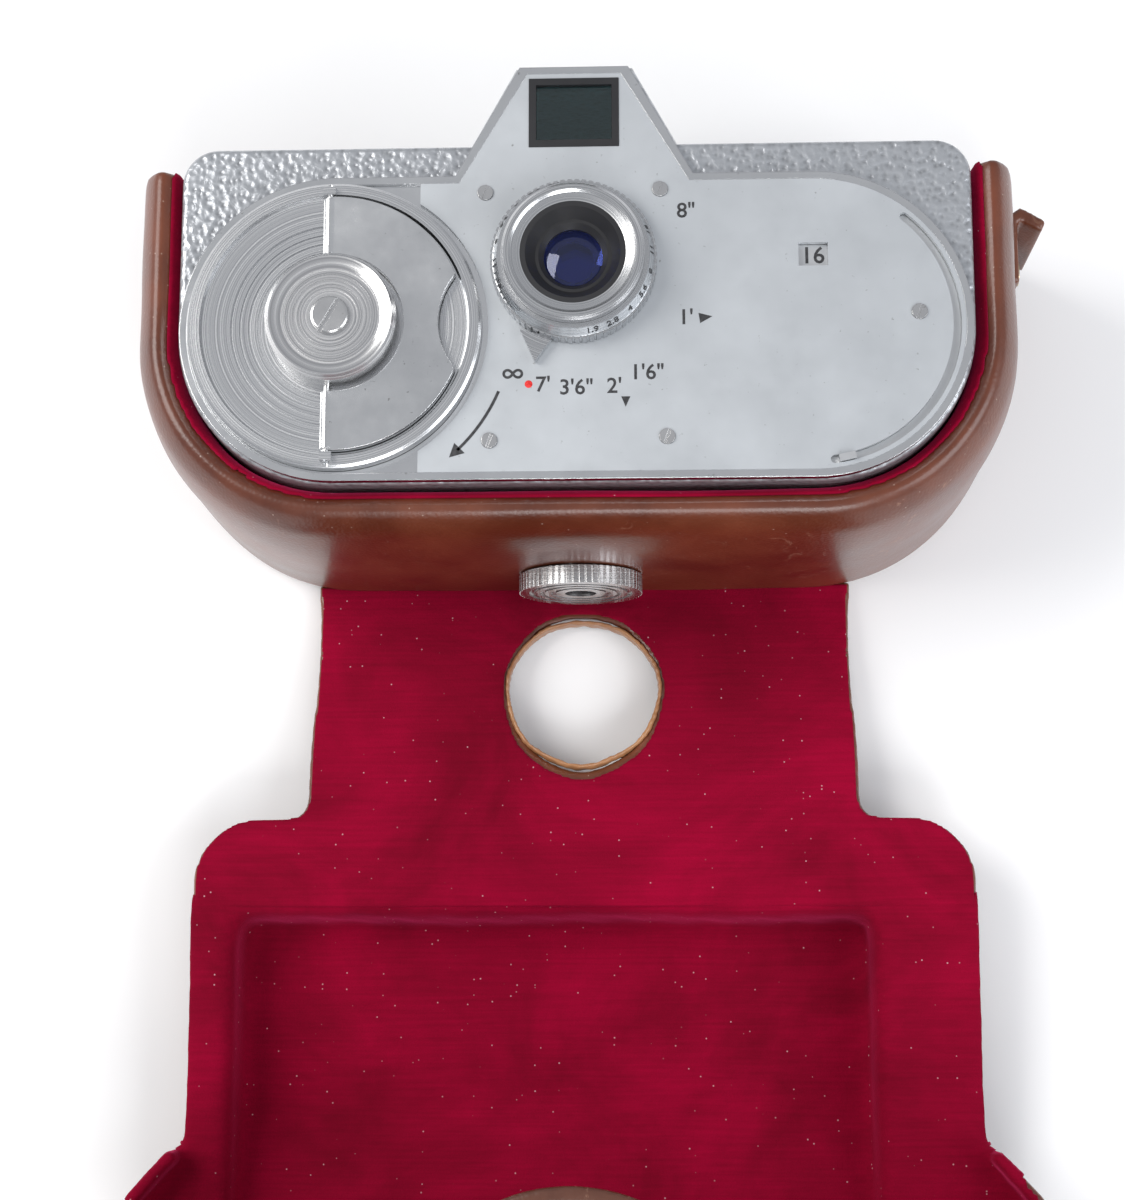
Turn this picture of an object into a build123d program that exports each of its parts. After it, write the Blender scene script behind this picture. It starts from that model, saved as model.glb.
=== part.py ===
"""Double-eight cine camera in its opened ever-ready case, as separate pieces.

Frame: the camera lies on its back.  +Z is the lens axis, +Y points to the finder,
and the origin is on the lens axis at the back face of the leather half case.
"""
from build123d import *
import os
from math import asin, atan2, cos, degrees, radians, sin

os.makedirs("parts", exist_ok=True)

# ---------------------------------------------------------------- driving sizes, mm
# leather case
leather = 2.4
velvet = 0.6
case_wall = 9.4
case_gap = 0.4
case_rim_below_face = 1.0
case_top = 21.5
strip_length = 62.0
strip_half_width = 56.0
strip_narrow_length = 44.7
strip_hole_radius = 15.4
strip_hole_centre = 21.0
cover_half_width = 79.0
cover_recess = 12.9
hood_half_width = 90.0
hood_top = 98.8
hood_depth = 60.0
running_gap = 0.3
tab_half_width = 27.0
tab_length = 43.0
snap_radius = 8.5

# camera body
body_depth = 55.0
body_half_width = 76.2
body_end_radius = 30.2
body_top = 25.0
body_corner = 7.0
wall = 1.6
stadium_drop = 12.0
bezel_half_length = 75.5
bezel_base = 1.0
bezel_rim = 1.5
rim_height = 0.9
plate_thickness = 1.0

# finder housing
finder_top = 40.0
finder_top_half = 10.5
finder_foot_half = 26.2
finder_foot = 12.0
window_width = 17.4
window_height = 14.0
window_centre = 30.6

# winding side
disc_radius = 28.0
hub_radius = 12.4
hub_height = 8.0
key_radius = 24.9
key_thickness = 1.6
key_pin_radius = 0.6
arbor_radius = 3.0

# lens
front_ring_radius = 13.5
focus_ring_radius = 15.8
barrel_radius = 11.6
lens_height = 8.0
shaft_fit = 0.05

# mechanism
gear_module = 0.8
barrel_teeth = 60
barrel_radius_outer = 22.0
pinion_teeth = 12
wheel_teeth = 40
spool_radius = 24.6
spool_width = 17.6
film_width = 16.0

# retaining knob and bush
knob_radius = 12.5
boss_radius = 5.4
knob_height = 20.5
knob_thickness = 3.6
tripod_radius = 3.175

# ---------------------------------------------------------------- levels and places
back_z = leather + velvet + case_gap
front_z = back_z + body_depth
base_z = front_z + bezel_base
plate_z = base_z + plate_thickness
rim_z = front_z - case_rim_below_face
stadium_y = -stadium_drop
body_bottom = stadium_y - body_end_radius
disc_x = body_end_radius - 0.2 - bezel_half_length
cavity_offset = case_gap + velvet
case_offset = cavity_offset + case_wall
case_bottom = body_bottom - case_offset

strip_thickness = leather + velvet
half_sheet = strip_thickness / 2
hinge_y = case_bottom - running_gap - half_sheet
hinge_z = half_sheet
cover_face_z = cover_recess + strip_thickness
strip_slope = asin((cover_face_z - half_sheet - hinge_z) / strip_length)
fold_y = hinge_y - strip_length * cos(strip_slope)
fold_z = hinge_z + strip_length * sin(strip_slope)

strip_normal = (0, sin(strip_slope), cos(strip_slope))
strip_plane = Plane(origin=(0, hinge_y, hinge_z), x_dir=(-1, 0, 0), z_dir=strip_normal)
cover_plane = Plane(origin=(0, fold_y, cover_face_z), x_dir=(-1, 0, 0), z_dir=(0, 0, 1))


def body_outline(grow, top=body_top, corner=body_corner):
    """Draw the body's front outline, grown all round, in the open sketch."""
    bottom = body_bottom - grow
    middle = (top + bottom) / 2
    with BuildSketch(mode=Mode.PRIVATE) as outline:
        with Locations((0, middle)):
            Rectangle(2 * (body_half_width + grow), top - bottom)
        corners = outline.vertices().sort_by(Axis.Y)
        fillet(corners[:2], radius=body_end_radius + grow)
        if corner > 0:
            fillet(outline.vertices().sort_by(Axis.Y)[-2:], radius=corner)
    add(outline.sketch)


def finder_outline(grow, mode=Mode.ADD):
    """Draw the tapered finder housing, grown sideways and upwards."""
    with BuildSketch(mode=Mode.PRIVATE) as outline:
        with BuildLine():
            Polyline(
                (-finder_foot_half - grow, finder_foot),
                (-finder_top_half - grow, finder_top + grow),
                (finder_top_half + grow, finder_top + grow),
                (finder_foot_half + grow, finder_foot),
                close=True,
            )
        make_face()
    add(outline.sketch, mode=mode)


def face_outline(inset, mode=Mode.ADD):
    """Draw the round-ended face together with the finder, made smaller by inset."""
    with BuildSketch(mode=Mode.PRIVATE) as outline:
        with Locations((0, stadium_y)):
            SlotOverall(2 * (bezel_half_length - inset), 2 * (body_end_radius - 0.2 - inset))
        finder_outline(-inset)
    add(outline.sketch, mode=mode)


def window_outline(grow, mode=Mode.ADD):
    """Draw the finder's window, grown all round."""
    with Locations((0, window_centre)):
        Rectangle(window_width + 2 * grow, window_height + 2 * grow, mode=mode)


def gear_outline(teeth, phase):
    """Draw a toothed wheel in the open sketch; phase is the first tooth's angle in degrees."""
    pitch_radius = gear_module * teeth / 2
    root_radius = pitch_radius - 1.15 * gear_module
    tip_radius = pitch_radius + 0.85 * gear_module
    step = 360 / teeth
    corners = []
    for tooth in range(teeth):
        middle = phase + tooth * step
        for share, radius in ((-0.30, root_radius), (-0.11, tip_radius),
                              (0.11, tip_radius), (0.30, root_radius)):
            angle = radians(middle + share * step)
            corners.append((radius * cos(angle), radius * sin(angle)))
    with BuildLine(mode=Mode.PRIVATE) as edge:
        Polyline(*corners, close=True)
    add(make_face(edge.edges(), mode=Mode.PRIVATE))


# ================================================================ leather half case
with BuildPart() as case_leather:
    with BuildSketch():
        body_outline(case_offset, top=case_top, corner=0)
    extrude(amount=rim_z)
    with BuildSketch(Plane.XY.offset(leather)):
        body_outline(cavity_offset, top=case_top + 1, corner=0)
    extrude(amount=rim_z, mode=Mode.SUBTRACT)
    lip = case_leather.faces().filter_by(Axis.Z).sort_by(Axis.Z)[-1]
    fillet(lip.outer_wire().edges().filter_by(GeomType.CIRCLE), radius=4.5)
    back = case_leather.faces().filter_by(Axis.Z).sort_by(Axis.Z)[0]
    fillet(back.outer_wire().edges().filter_by(GeomType.CIRCLE), radius=3.5)
    with Locations(Plane(origin=(0, case_bottom, knob_height), z_dir=(0, -1, 0))):
        Hole(radius=boss_radius + 0.5, depth=case_offset + wall)
case_leather.part.label = "case_leather"
export_step(case_leather.part, "parts/case_leather.step")

with BuildPart() as case_velvet:
    with BuildSketch(Plane.XY.offset(leather)):
        body_outline(cavity_offset, top=case_top - 0.6, corner=0)
    extrude(amount=rim_z - leather - 1.2)
    with BuildSketch(Plane.XY.offset(leather + velvet)):
        body_outline(case_gap, top=case_top + 1, corner=0)
    extrude(amount=rim_z, mode=Mode.SUBTRACT)
    with Locations(Plane(origin=(0, case_bottom, knob_height), z_dir=(0, -1, 0))):
        Hole(radius=boss_radius + 0.5, depth=case_offset + wall)
case_velvet.part.label = "case_velvet"
export_step(case_velvet.part, "parts/case_velvet.step")

# stub of the shoulder strap, sewn to the side wall
stub_low = 8.0
stub_width = 26.0
stub_thickness = 2.2
stub_y = 13.0
with BuildPart() as strap_stub:
    with BuildSketch(Plane.XY.offset(stub_low)):
        with BuildLine():
            wall_x = body_half_width + case_offset
            l1 = Polyline((wall_x, stub_y - 9), (wall_x, stub_y + 5), (wall_x + 3, stub_y + 7))
            l2 = Line(l1 @ 1, (wall_x + 8, stub_y + 4))
            l3 = Line(l2 @ 1, (wall_x + 7, stub_y + 4 - stub_thickness))
            l4 = Polyline(l3 @ 1, (wall_x + stub_thickness, stub_y + 4.5), (wall_x + stub_thickness, stub_y - 9))
            Line(l4 @ 1, l1 @ 0)
        make_face()
    extrude(amount=stub_width)
strap_stub.part.label = "strap_stub"
export_step(strap_stub.part, "parts/strap_stub.step")

rivet_radius = 2.6
with BuildPart() as strap_rivet:
    for share in (0.25, 0.75):
        rivet_plane = Plane(
            origin=(wall_x + stub_thickness, stub_y - 5, stub_low + share * stub_width), z_dir=(1, 0, 0)
        )
        with BuildSketch(rivet_plane):
            Circle(rivet_radius)
        extrude(amount=0.7)
strap_rivet.part.label = "strap_rivet"
export_step(strap_rivet.part, "parts/strap_rivet.step")

# ================================================================ strip with the round hole
seam = 1.8


def strip_outline():
    """Draw the strip: narrow at the case, then a shoulder out to the cover's width."""
    shoulder = 13.0
    with BuildSketch(mode=Mode.PRIVATE) as outline:
        with Locations((0, strip_length / 2)):
            Rectangle(2 * strip_half_width, strip_length - 2 * seam)
        with Locations((0, (strip_narrow_length + 5 + strip_length - seam) / 2)):
            Rectangle(2 * cover_half_width, strip_length - seam - strip_narrow_length - 5)
        wide = outline.vertices().group_by(Axis.X)
        outer = wide[0].sort_by(Axis.Y)[0]
        other = wide[-1].sort_by(Axis.Y)[0]
        fillet([outer, other], radius=min(shoulder, 0.9 * (strip_length - seam - strip_narrow_length - 5)))
        with Locations((0, strip_hole_centre)):
            Circle(strip_hole_radius, mode=Mode.SUBTRACT)
    add(outline.sketch)


with BuildPart() as strip_leather:
    with BuildSketch(strip_plane.offset(-half_sheet)):
        strip_outline()
    extrude(amount=leather)
strip_leather.part.label = "strip_leather"
export_step(strip_leather.part, "parts/strip_leather.step")

with BuildPart() as strip_velvet:
    with BuildSketch(strip_plane.offset(leather - half_sheet)):
        strip_outline()
    extrude(amount=velvet)
strip_velvet.part.label = "strip_velvet"
export_step(strip_velvet.part, "parts/strip_velvet.step")

# ================================================================ moulded front cover
recess_left = 58.0
recess_right = 70.0
recess_start = 6.0
recess_floor_end = 43.0
recess_end = 95.2
hood_start = 50.0
hood_flare_end = 62.0
cheek_height = 22.0
flare_height = 8.0
cheek_rear = 85.0


def cover_outline(inset, start):
    """Draw the cover's outline in the cover's own plane, made smaller by inset."""
    half = hood_half_width - inset
    roof_half = finder_top_half + 10
    tilt = atan2(hood_top - cheek_rear, hood_half_width - roof_half)
    rear = cheek_rear - inset * (1 - sin(tilt)) / cos(tilt)
    roof_half = roof_half - inset * (1 - cos(tilt)) / sin(tilt)
    with BuildSketch(mode=Mode.PRIVATE) as outline:
        with BuildLine():
            Polyline(
                (-cover_half_width + inset, start),
                (-cover_half_width + inset, hood_start),
                (-half, hood_flare_end),
                (-half, rear),
                (-roof_half, hood_top - inset),
                (roof_half, hood_top - inset),
                (half, rear),
                (half, hood_flare_end),
                (cover_half_width - inset, hood_start),
                (cover_half_width - inset, start),
                close=True,
            )
        make_face()
        rounded = outline.vertices().filter_by_position(Axis.Y, start + 1, hood_top + 1)
        fillet(rounded, radius=5)
    add(outline.sketch)


def recess_profile(grow):
    """Draw the side profile of the hollow for the lens and hub, grown outwards."""
    with BuildLine(mode=Mode.PRIVATE) as edge:
        Polyline(
            (recess_start - grow, 0.0),
            (recess_start - grow + 1.5, -cover_recess - grow),
            (recess_floor_end, -cover_recess - grow),
            (recess_end + grow, -1.0 - grow),
            (recess_end + grow, 0.0),
            close=True,
        )
    add(make_face(edge.edges(), mode=Mode.PRIVATE))


def recess_block(grow):
    """Build the hollow for the lens and hub as a separate body, grown outwards."""
    side = Plane(
        origin=(recess_left + grow, fold_y, cover_face_z), x_dir=(0, -1, 0), z_dir=(-1, 0, 0)
    )
    with BuildPart(mode=Mode.PRIVATE) as block:
        with BuildSketch(side):
            recess_profile(grow)
        extrude(amount=recess_left + recess_right + 2 * grow)
    return block.part


def hood_block(inset, low, high, start):
    """Build the block inside the hood's outline between two heights as a separate body."""
    with BuildPart(mode=Mode.PRIVATE) as block:
        with BuildSketch(cover_plane.offset(low)):
            cover_outline(inset, start)
        extrude(amount=high - low)
    return block.part


def hood_walls(inset, thickness):
    """Build the hood's cheeks and top wall as a separate body."""
    low_cheek = cheek_rear - 4
    low_flare = hood_flare_end + 2
    with BuildPart(mode=Mode.PRIVATE) as walls:
        add(hood_block(inset, -velvet, hood_depth, seam))
        add(hood_block(inset + thickness, -strip_thickness, hood_depth + 1, -seam), mode=Mode.SUBTRACT)
        # nothing stands up before the flare, and the flare passes over the half case's rim
        with Locations((0, fold_y - hood_start / 2, cover_face_z + hood_depth / 2)):
            Box(3 * hood_half_width, hood_start + 4, 2 * hood_depth, mode=Mode.SUBTRACT)
        with Locations((0, fold_y - low_flare / 2, cover_face_z + flare_height + hood_depth / 2)):
            Box(3 * hood_half_width, low_flare, hood_depth, mode=Mode.SUBTRACT)
        with Locations((0, fold_y - low_cheek / 2, cover_face_z + cheek_height + hood_depth / 2)):
            Box(3 * hood_half_width, low_cheek, hood_depth, mode=Mode.SUBTRACT)
    return walls.part


cover_shell = hood_block(0, -strip_thickness, -velvet, seam) + recess_block(strip_thickness)
cover_shell = cover_shell - recess_block(velvet)
cover_shell = cover_shell - hood_block(-1, -velvet, 1, seam)
with BuildPart() as cover_leather:
    add(cover_shell)
    add(hood_walls(0, leather))
cover_leather.part.label = "cover_leather"
export_step(cover_leather.part, "parts/cover_leather.step")

cover_skin = hood_block(leather, -velvet, 0, seam) + recess_block(velvet)
cover_skin = cover_skin - recess_block(0)
cover_skin = cover_skin - hood_block(-1, 0, 1, seam)
with BuildPart() as cover_velvet:
    add(cover_skin)
    add(hood_walls(leather, velvet))
    add(cover_leather.part, mode=Mode.SUBTRACT)
cover_velvet.part.label = "cover_velvet"
export_step(cover_velvet.part, "parts/cover_velvet.step")

# ================================================================ snap tab
tab_gap = 0.4
tab_z = cover_face_z + hood_depth + tab_gap + half_sheet
tab_hinge_y = fold_y - hood_top + half_sheet
with BuildPart() as snap_tab:
    with BuildSketch(Plane.XY.offset(tab_z - leather / 2)):
        with BuildLine():
            base = Line((-tab_half_width, tab_hinge_y + 0.4), (tab_half_width, tab_hinge_y + 0.4))
            shoulder_y = tab_hinge_y + tab_length - 0.55 * tab_half_width
            right = Line(base @ 1, (tab_half_width, shoulder_y))
            tip = ThreePointArc(right @ 1, (0, tab_hinge_y + tab_length), (-tab_half_width, shoulder_y))
            Line(tip @ 1, base @ 0)
        make_face()
    extrude(amount=leather)
    snap_y = tab_hinge_y + tab_length - 14
    with Locations((0, snap_y, tab_z + leather / 2)):
        Hole(radius=2.4, depth=2 * leather)
snap_tab.part.label = "snap_tab"
export_step(snap_tab.part, "parts/snap_tab.step")

with BuildPart() as snap_cap:
    with BuildSketch(Plane.XY.offset(tab_z + leather / 2)):
        with Locations((0, snap_y)):
            Circle(snap_radius)
    extrude(amount=1.6)
    fillet(snap_cap.faces().sort_by(Axis.Z)[-1].edges(), radius=1.2)
    with BuildSketch(Plane.XY.offset(tab_z + leather / 2)):
        with Locations((0, snap_y)):
            Circle(2.4)
    extrude(amount=-leather)
snap_cap.part.label = "snap_cap"
export_step(snap_cap.part, "parts/snap_cap.step")

# ================================================================ camera body
release_x = 24.5
release_z = back_z + 0.55 * body_depth
collar_radius = 3.4
button_radius = 2.2
front_edge_radius = 1.2
with BuildPart() as body_casting:
    with BuildSketch(Plane.XY.offset(back_z + wall)):
        body_outline(0)
    extrude(amount=body_depth - wall)
    with BuildSketch(Plane.XY.offset(back_z + wall)):
        finder_outline(0.8)
    extrude(amount=body_depth - wall)
    fillet(body_casting.faces().sort_by(Axis.Z)[-1].outer_wire().edges(), radius=front_edge_radius)
    with BuildSketch(Plane.XY.offset(back_z + wall)):
        body_outline(-wall, top=body_top - wall, corner=body_corner - wall)
    extrude(amount=body_depth - 2 * wall - 0.4, mode=Mode.SUBTRACT)
    # light tunnel of the finder
    with BuildSketch(Plane.XY.offset(back_z)):
        with Locations((0, window_centre)):
            Rectangle(window_width, window_height)
    extrude(amount=body_depth, mode=Mode.SUBTRACT)
    # passages for the winding arbor and the lens
    with BuildSketch(Plane.XY.offset(front_z - 3)):
        Circle(barrel_radius)
        with Locations((disc_x, stadium_y)):
            Circle(arbor_radius + 2)
    extrude(amount=4, mode=Mode.SUBTRACT)
    with Locations(Plane(origin=(0, body_bottom, knob_height), z_dir=(0, -1, 0))):
        Hole(radius=6.0, depth=2 * wall)
    with Locations(Plane(origin=(release_x, body_top + 1, release_z), z_dir=(0, 1, 0))):
        Hole(radius=button_radius + shaft_fit, depth=2 * wall + 1)
body_casting.part.label = "body_casting"
export_step(body_casting.part, "parts/body_casting.step")

with BuildPart() as back_door:
    with BuildSketch(Plane.XY.offset(back_z)):
        body_outline(0)
        finder_outline(0.8)
        with Locations((0, window_centre)):
            Rectangle(window_width - 6, window_height - 5, mode=Mode.SUBTRACT)
    extrude(amount=wall)
back_door.part.label = "back_door"
export_step(back_door.part, "parts/back_door.step")

with BuildPart() as finder_eyepiece:
    with BuildSketch(Plane.XY.offset(back_z + 0.3)):
        with Locations((0, window_centre)):
            Rectangle(window_width - 6, window_height - 5)
    extrude(amount=1.0)
finder_eyepiece.part.label = "finder_eyepiece"
export_step(finder_eyepiece.part, "parts/finder_eyepiece.step")

# ---------------------------------------------------------------- bezel and face plate
screw_places = ((-17, 14.5), (16.5, 14.8), (-16, -34.5), (17.5, -34), (65.3, -10.2))
screw_radius = 1.5
screw_hole = screw_radius + shaft_fit
slot_radius_middle = 26.9
slot_half_width = 0.8
speed_x = -disc_x
speed_window = 6.0
speed_window_y = 1.4
speed_rest = -78.0
speed_travel = 123.0
plate_tip = 16.0

with BuildPart() as front_bezel:
    with BuildSketch(Plane.XY.offset(front_z)):
        face_outline(0)
        Circle(barrel_radius, mode=Mode.SUBTRACT)
        window_outline(0, mode=Mode.SUBTRACT)
        with Locations((disc_x, stadium_y)):
            Circle(arbor_radius + 2, mode=Mode.SUBTRACT)
        with Locations((speed_x, stadium_y)):
            Circle(slot_radius_middle + 1.4, mode=Mode.SUBTRACT)
    extrude(amount=bezel_base)
    with BuildSketch(Plane.XY.offset(base_z)):
        face_outline(0)
        face_outline(bezel_rim, mode=Mode.SUBTRACT)
    extrude(amount=rim_height)
front_bezel.part.label = "front_bezel"
export_step(front_bezel.part, "parts/front_bezel.step")

with BuildPart() as front_plate:
    with BuildSketch(Plane.XY.offset(base_z)):
        face_outline(bezel_rim)
        with Locations((disc_x, stadium_y)):
            Circle(disc_radius + 1.2, mode=Mode.SUBTRACT)
        with Locations((disc_x + plate_tip, stadium_y)):
            Rectangle(body_half_width, 3 * disc_radius, align=(Align.MAX, Align.CENTER), mode=Mode.SUBTRACT)
        Circle(barrel_radius, mode=Mode.SUBTRACT)
        window_outline(0, mode=Mode.SUBTRACT)
        with Locations((speed_x, speed_window_y)):
            Rectangle(speed_window - 0.4, speed_window - 1.4, mode=Mode.SUBTRACT)
        with Locations(*screw_places):
            Circle(screw_hole, mode=Mode.SUBTRACT)
    extrude(amount=plate_thickness)
    # curved slot for the speed tab
    with BuildSketch(Plane.XY.offset(base_z)):
        with Locations((speed_x, stadium_y)):
            SlotArc(
                CenterArc((0, 0), slot_radius_middle, speed_rest - 5, speed_travel + 10, mode=Mode.PRIVATE),
                2 * slot_half_width,
            )
    extrude(amount=plate_thickness, mode=Mode.SUBTRACT)
front_plate.part.label = "front_plate"
export_step(front_plate.part, "parts/front_plate.step")

with BuildPart() as plate_screws:
    for place in screw_places:
        with BuildSketch(Plane(origin=(place[0], place[1], base_z))):
            Circle(screw_radius)
        extrude(amount=plate_thickness + 0.3)
    with BuildSketch(Plane.XY.offset(plate_z)):
        with Locations(*screw_places):
            Rectangle(3 * screw_radius, 0.4, rotation=70)
    extrude(amount=0.3, mode=Mode.SUBTRACT)
plate_screws.part.label = "plate_screws"
export_step(plate_screws.part, "parts/plate_screws.step")

with BuildPart() as finder_frame:
    with BuildSketch(Plane.XY.offset(front_z + 0.2)):
        window_outline(-0.05)
        window_outline(-1.4, mode=Mode.SUBTRACT)
    extrude(amount=bezel_base + plate_thickness)
finder_frame.part.label = "finder_frame"
export_step(finder_frame.part, "parts/finder_frame.step")

with BuildPart() as finder_lens:
    with BuildSketch(Plane.XY.offset(front_z + 0.3)):
        window_outline(-1.45)
    extrude(amount=1.0)
finder_lens.part.label = "finder_lens"
export_step(finder_lens.part, "parts/finder_lens.step")

# ================================================================ winding disc and key
disc_bottom = base_z + running_gap
dish_z = disc_bottom + 1.6
disc_rim_z = dish_z + 1.4
hinge_height = dish_z + 1.75
hinge_offset = 1.0
knuckle_radius = 1.15
key_clear = 1.0
key_pivot_x = disc_x - hinge_offset
hub_top = plate_z + hub_height
lug_start = key_radius + 0.3

with BuildPart() as winding_disc:
    with BuildSketch(Plane.XZ):
        with BuildLine():
            Polyline(
                (arbor_radius, disc_bottom),
                (disc_radius, disc_bottom),
                (disc_radius, disc_rim_z - 0.4),
                (disc_radius - 0.5, disc_rim_z),
                (key_radius + 0.8, disc_rim_z),
                (key_radius + 0.4, dish_z + 0.5),
                (hub_radius + 4, dish_z),
                (arbor_radius, dish_z),
                close=True,
            )
        make_face()
        # fine rings turned into the dish
        for ring in range(6):
            with Locations((hub_radius + 2.2 + 1.7 * ring, dish_z)):
                Rectangle(0.5, 0.5, mode=Mode.SUBTRACT)
    revolve(axis=Axis.Z)
winding_disc_moved = Pos(disc_x, stadium_y, 0) * winding_disc.part
lug_height = hinge_height + knuckle_radius - dish_z
lug_low = Box(2 * knuckle_radius, 1.6, lug_height, align=(Align.CENTER, Align.MIN, Align.MIN))
for side in (-1, 1):
    lug = Pos(key_pivot_x, stadium_y + side * (lug_start + 0.8) - 0.8, dish_z) * lug_low
    winding_disc_moved = winding_disc_moved + lug
    bore = Cylinder(key_pin_radius, 6, rotation=(90, 0, 0))
    winding_disc_moved = winding_disc_moved - Pos(key_pivot_x, stadium_y + side * lug_start, hinge_height) * bore
with BuildPart() as winding_disc_whole:
    add(winding_disc_moved)
winding_disc_whole.part.label = "winding_disc"
export_step(winding_disc_whole.part, "parts/winding_disc.step")

hub_axis = Axis((disc_x, stadium_y, 0), (0, 0, 1))
hub_plane = Plane(origin=(disc_x, stadium_y, 0), x_dir=(1, 0, 0), z_dir=(0, -1, 0))
with BuildPart() as disc_hub:
    with BuildSketch(hub_plane):
        with BuildLine():
            Polyline(
                (arbor_radius, dish_z),
                (hub_radius, dish_z),
                (hub_radius, hub_top - 1.0),
                (hub_radius - 0.8, hub_top),
                (hub_radius - 3.0, hub_top - 0.7),
                (4.0, hub_top - 0.7),
                (arbor_radius, hub_top - 0.7),
                close=True,
            )
        make_face()
        for ring in range(5):
            with Locations((5.0 + 1.0 * ring, hub_top - 0.7)):
                Rectangle(0.35, 0.5, mode=Mode.SUBTRACT)
    revolve(axis=hub_axis)
    for side in (-1, 1):
        with Locations(Plane(origin=(key_pivot_x, stadium_y + side * (hub_radius + 1), hinge_height),
                             z_dir=(0, side, 0))):
            Hole(radius=key_pin_radius, depth=3.0)
disc_hub.part.label = "disc_hub"
export_step(disc_hub.part, "parts/disc_hub.step")

with BuildPart() as hub_screw:
    with BuildSketch(Plane(origin=(disc_x, stadium_y, hub_top - 0.7))):
        Circle(3.6)
    extrude(amount=1.3)
    fillet(hub_screw.faces().sort_by(Axis.Z)[-1].edges(), radius=0.5)
    with BuildSketch(Plane(origin=(disc_x, stadium_y, hub_top + 0.6))):
        Rectangle(9, 0.8, rotation=60)
    extrude(amount=-0.7, mode=Mode.SUBTRACT)
hub_screw.part.label = "hub_screw"
export_step(hub_screw.part, "parts/hub_screw.step")

key_pin_end = lug_start + 1.4
with BuildPart() as key_pins:
    for side in (-1, 1):
        with BuildSketch(Plane(origin=(key_pivot_x, stadium_y + side * (hub_radius - 1.2), hinge_height),
                               z_dir=(0, side, 0))):
            Circle(key_pin_radius)
        extrude(amount=key_pin_end - hub_radius + 1.2)
key_pins.part.label = "key_pins"
export_step(key_pins.part, "parts/key_pins.step")

with BuildPart() as winding_key:
    with BuildSketch(Plane(origin=(disc_x, stadium_y, hinge_height - key_thickness / 2))):
        Circle(key_radius)
        with Locations((-hinge_offset, 0)):
            Rectangle(60, 60, align=(Align.MAX, Align.CENTER), mode=Mode.SUBTRACT)
        Circle(hub_radius + key_clear, mode=Mode.SUBTRACT)
        # finger notch in the outer edge
        with Locations((key_radius + 9.5, 0)):
            Circle(14.5, mode=Mode.SUBTRACT)
    extrude(amount=key_thickness)
    fillet(winding_key.edges().filter_by(Axis.Z).group_by(Axis.X)[-1], radius=1.5)
    for side in (-1, 1):
        start = stadium_y + side * (hub_radius + key_clear + 0.2)
        with BuildSketch(Plane(origin=(key_pivot_x, start, hinge_height), z_dir=(0, side, 0))):
            Circle(knuckle_radius)
        extrude(amount=key_radius - hub_radius - key_clear - 0.6)
    for side in (-1, 1):
        with BuildSketch(Plane(origin=(key_pivot_x, stadium_y + side * 8, hinge_height), z_dir=(0, side, 0))):
            Circle(key_pin_radius + shaft_fit)
        extrude(amount=24, mode=Mode.SUBTRACT)
winding_key.part.label = "winding_key"
export_step(winding_key.part, "parts/winding_key.step")

# ================================================================ spring motor
mech_front_z = front_z - 4.4
mech_plate = 1.6
drum_front_z = mech_front_z - mech_plate - 0.6
drum_depth = 26.0
drum_back_z = drum_front_z - drum_depth
gear_thickness = 2.4

with BuildPart() as winding_arbor:
    with BuildSketch(Plane(origin=(disc_x, stadium_y, drum_back_z + 1.0))):
        Circle(arbor_radius)
    extrude(amount=hub_top - 0.7 - drum_back_z - 1.0)
winding_arbor.part.label = "winding_arbor"
export_step(winding_arbor.part, "parts/winding_arbor.step")

with BuildPart() as spring_drum:
    with BuildSketch(Plane(origin=(disc_x, stadium_y, drum_back_z))):
        Circle(barrel_radius_outer)
    extrude(amount=drum_depth - 1.2)
    with BuildSketch(Plane(origin=(disc_x, stadium_y, drum_back_z + 1.0))):
        Circle(barrel_radius_outer - 1.2)
    extrude(amount=drum_depth, mode=Mode.SUBTRACT)
    # toothed rim round the foot of the drum
    with BuildSketch(Plane(origin=(disc_x, stadium_y, drum_back_z))):
        gear_outline(barrel_teeth, 0)
        Circle(barrel_radius_outer - 0.6, mode=Mode.SUBTRACT)
    extrude(amount=gear_thickness)
spring_drum.part.label = "spring_drum"
export_step(spring_drum.part, "parts/spring_drum.step")

with BuildPart() as drum_cover:
    with BuildSketch(Plane(origin=(disc_x, stadium_y, drum_front_z - 1.2))):
        Circle(barrel_radius_outer)
        Circle(arbor_radius + shaft_fit, mode=Mode.SUBTRACT)
    extrude(amount=1.2)
drum_cover.part.label = "drum_cover"
export_step(drum_cover.part, "parts/drum_cover.step")

spring_coils = 5
with BuildPart() as mainspring:
    with BuildSketch(Plane(origin=(disc_x, stadium_y, drum_back_z + 2.0))):
        for coil in reversed(range(spring_coils)):
            radius = arbor_radius + 2.4 + 3.2 * coil
            Circle(radius + 0.45)
            Circle(radius - 0.45, mode=Mode.SUBTRACT)
        for coil in range(spring_coils - 1):
            radius = arbor_radius + 2.4 + 3.2 * coil
            with PolarLocations(radius + 1.6, 1, start_angle=90 * coil):
                Rectangle(3.0, 0.9)
        with Locations((barrel_radius_outer - 1.2, 0)):
            Rectangle(2.4, 0.9, align=(Align.MAX, Align.CENTER))
    extrude(amount=drum_depth - 6)
mainspring.part.label = "mainspring"
export_step(mainspring.part, "parts/mainspring.step")

# ================================================================ lens
focus_low = plate_z + 0.2
focus_height = 3.0
aperture_low = focus_low + focus_height + 0.1
aperture_height = 2.4
front_low = aperture_low + aperture_height + 0.1
lens_top = plate_z + lens_height
funnel_depth = 5.0

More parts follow.
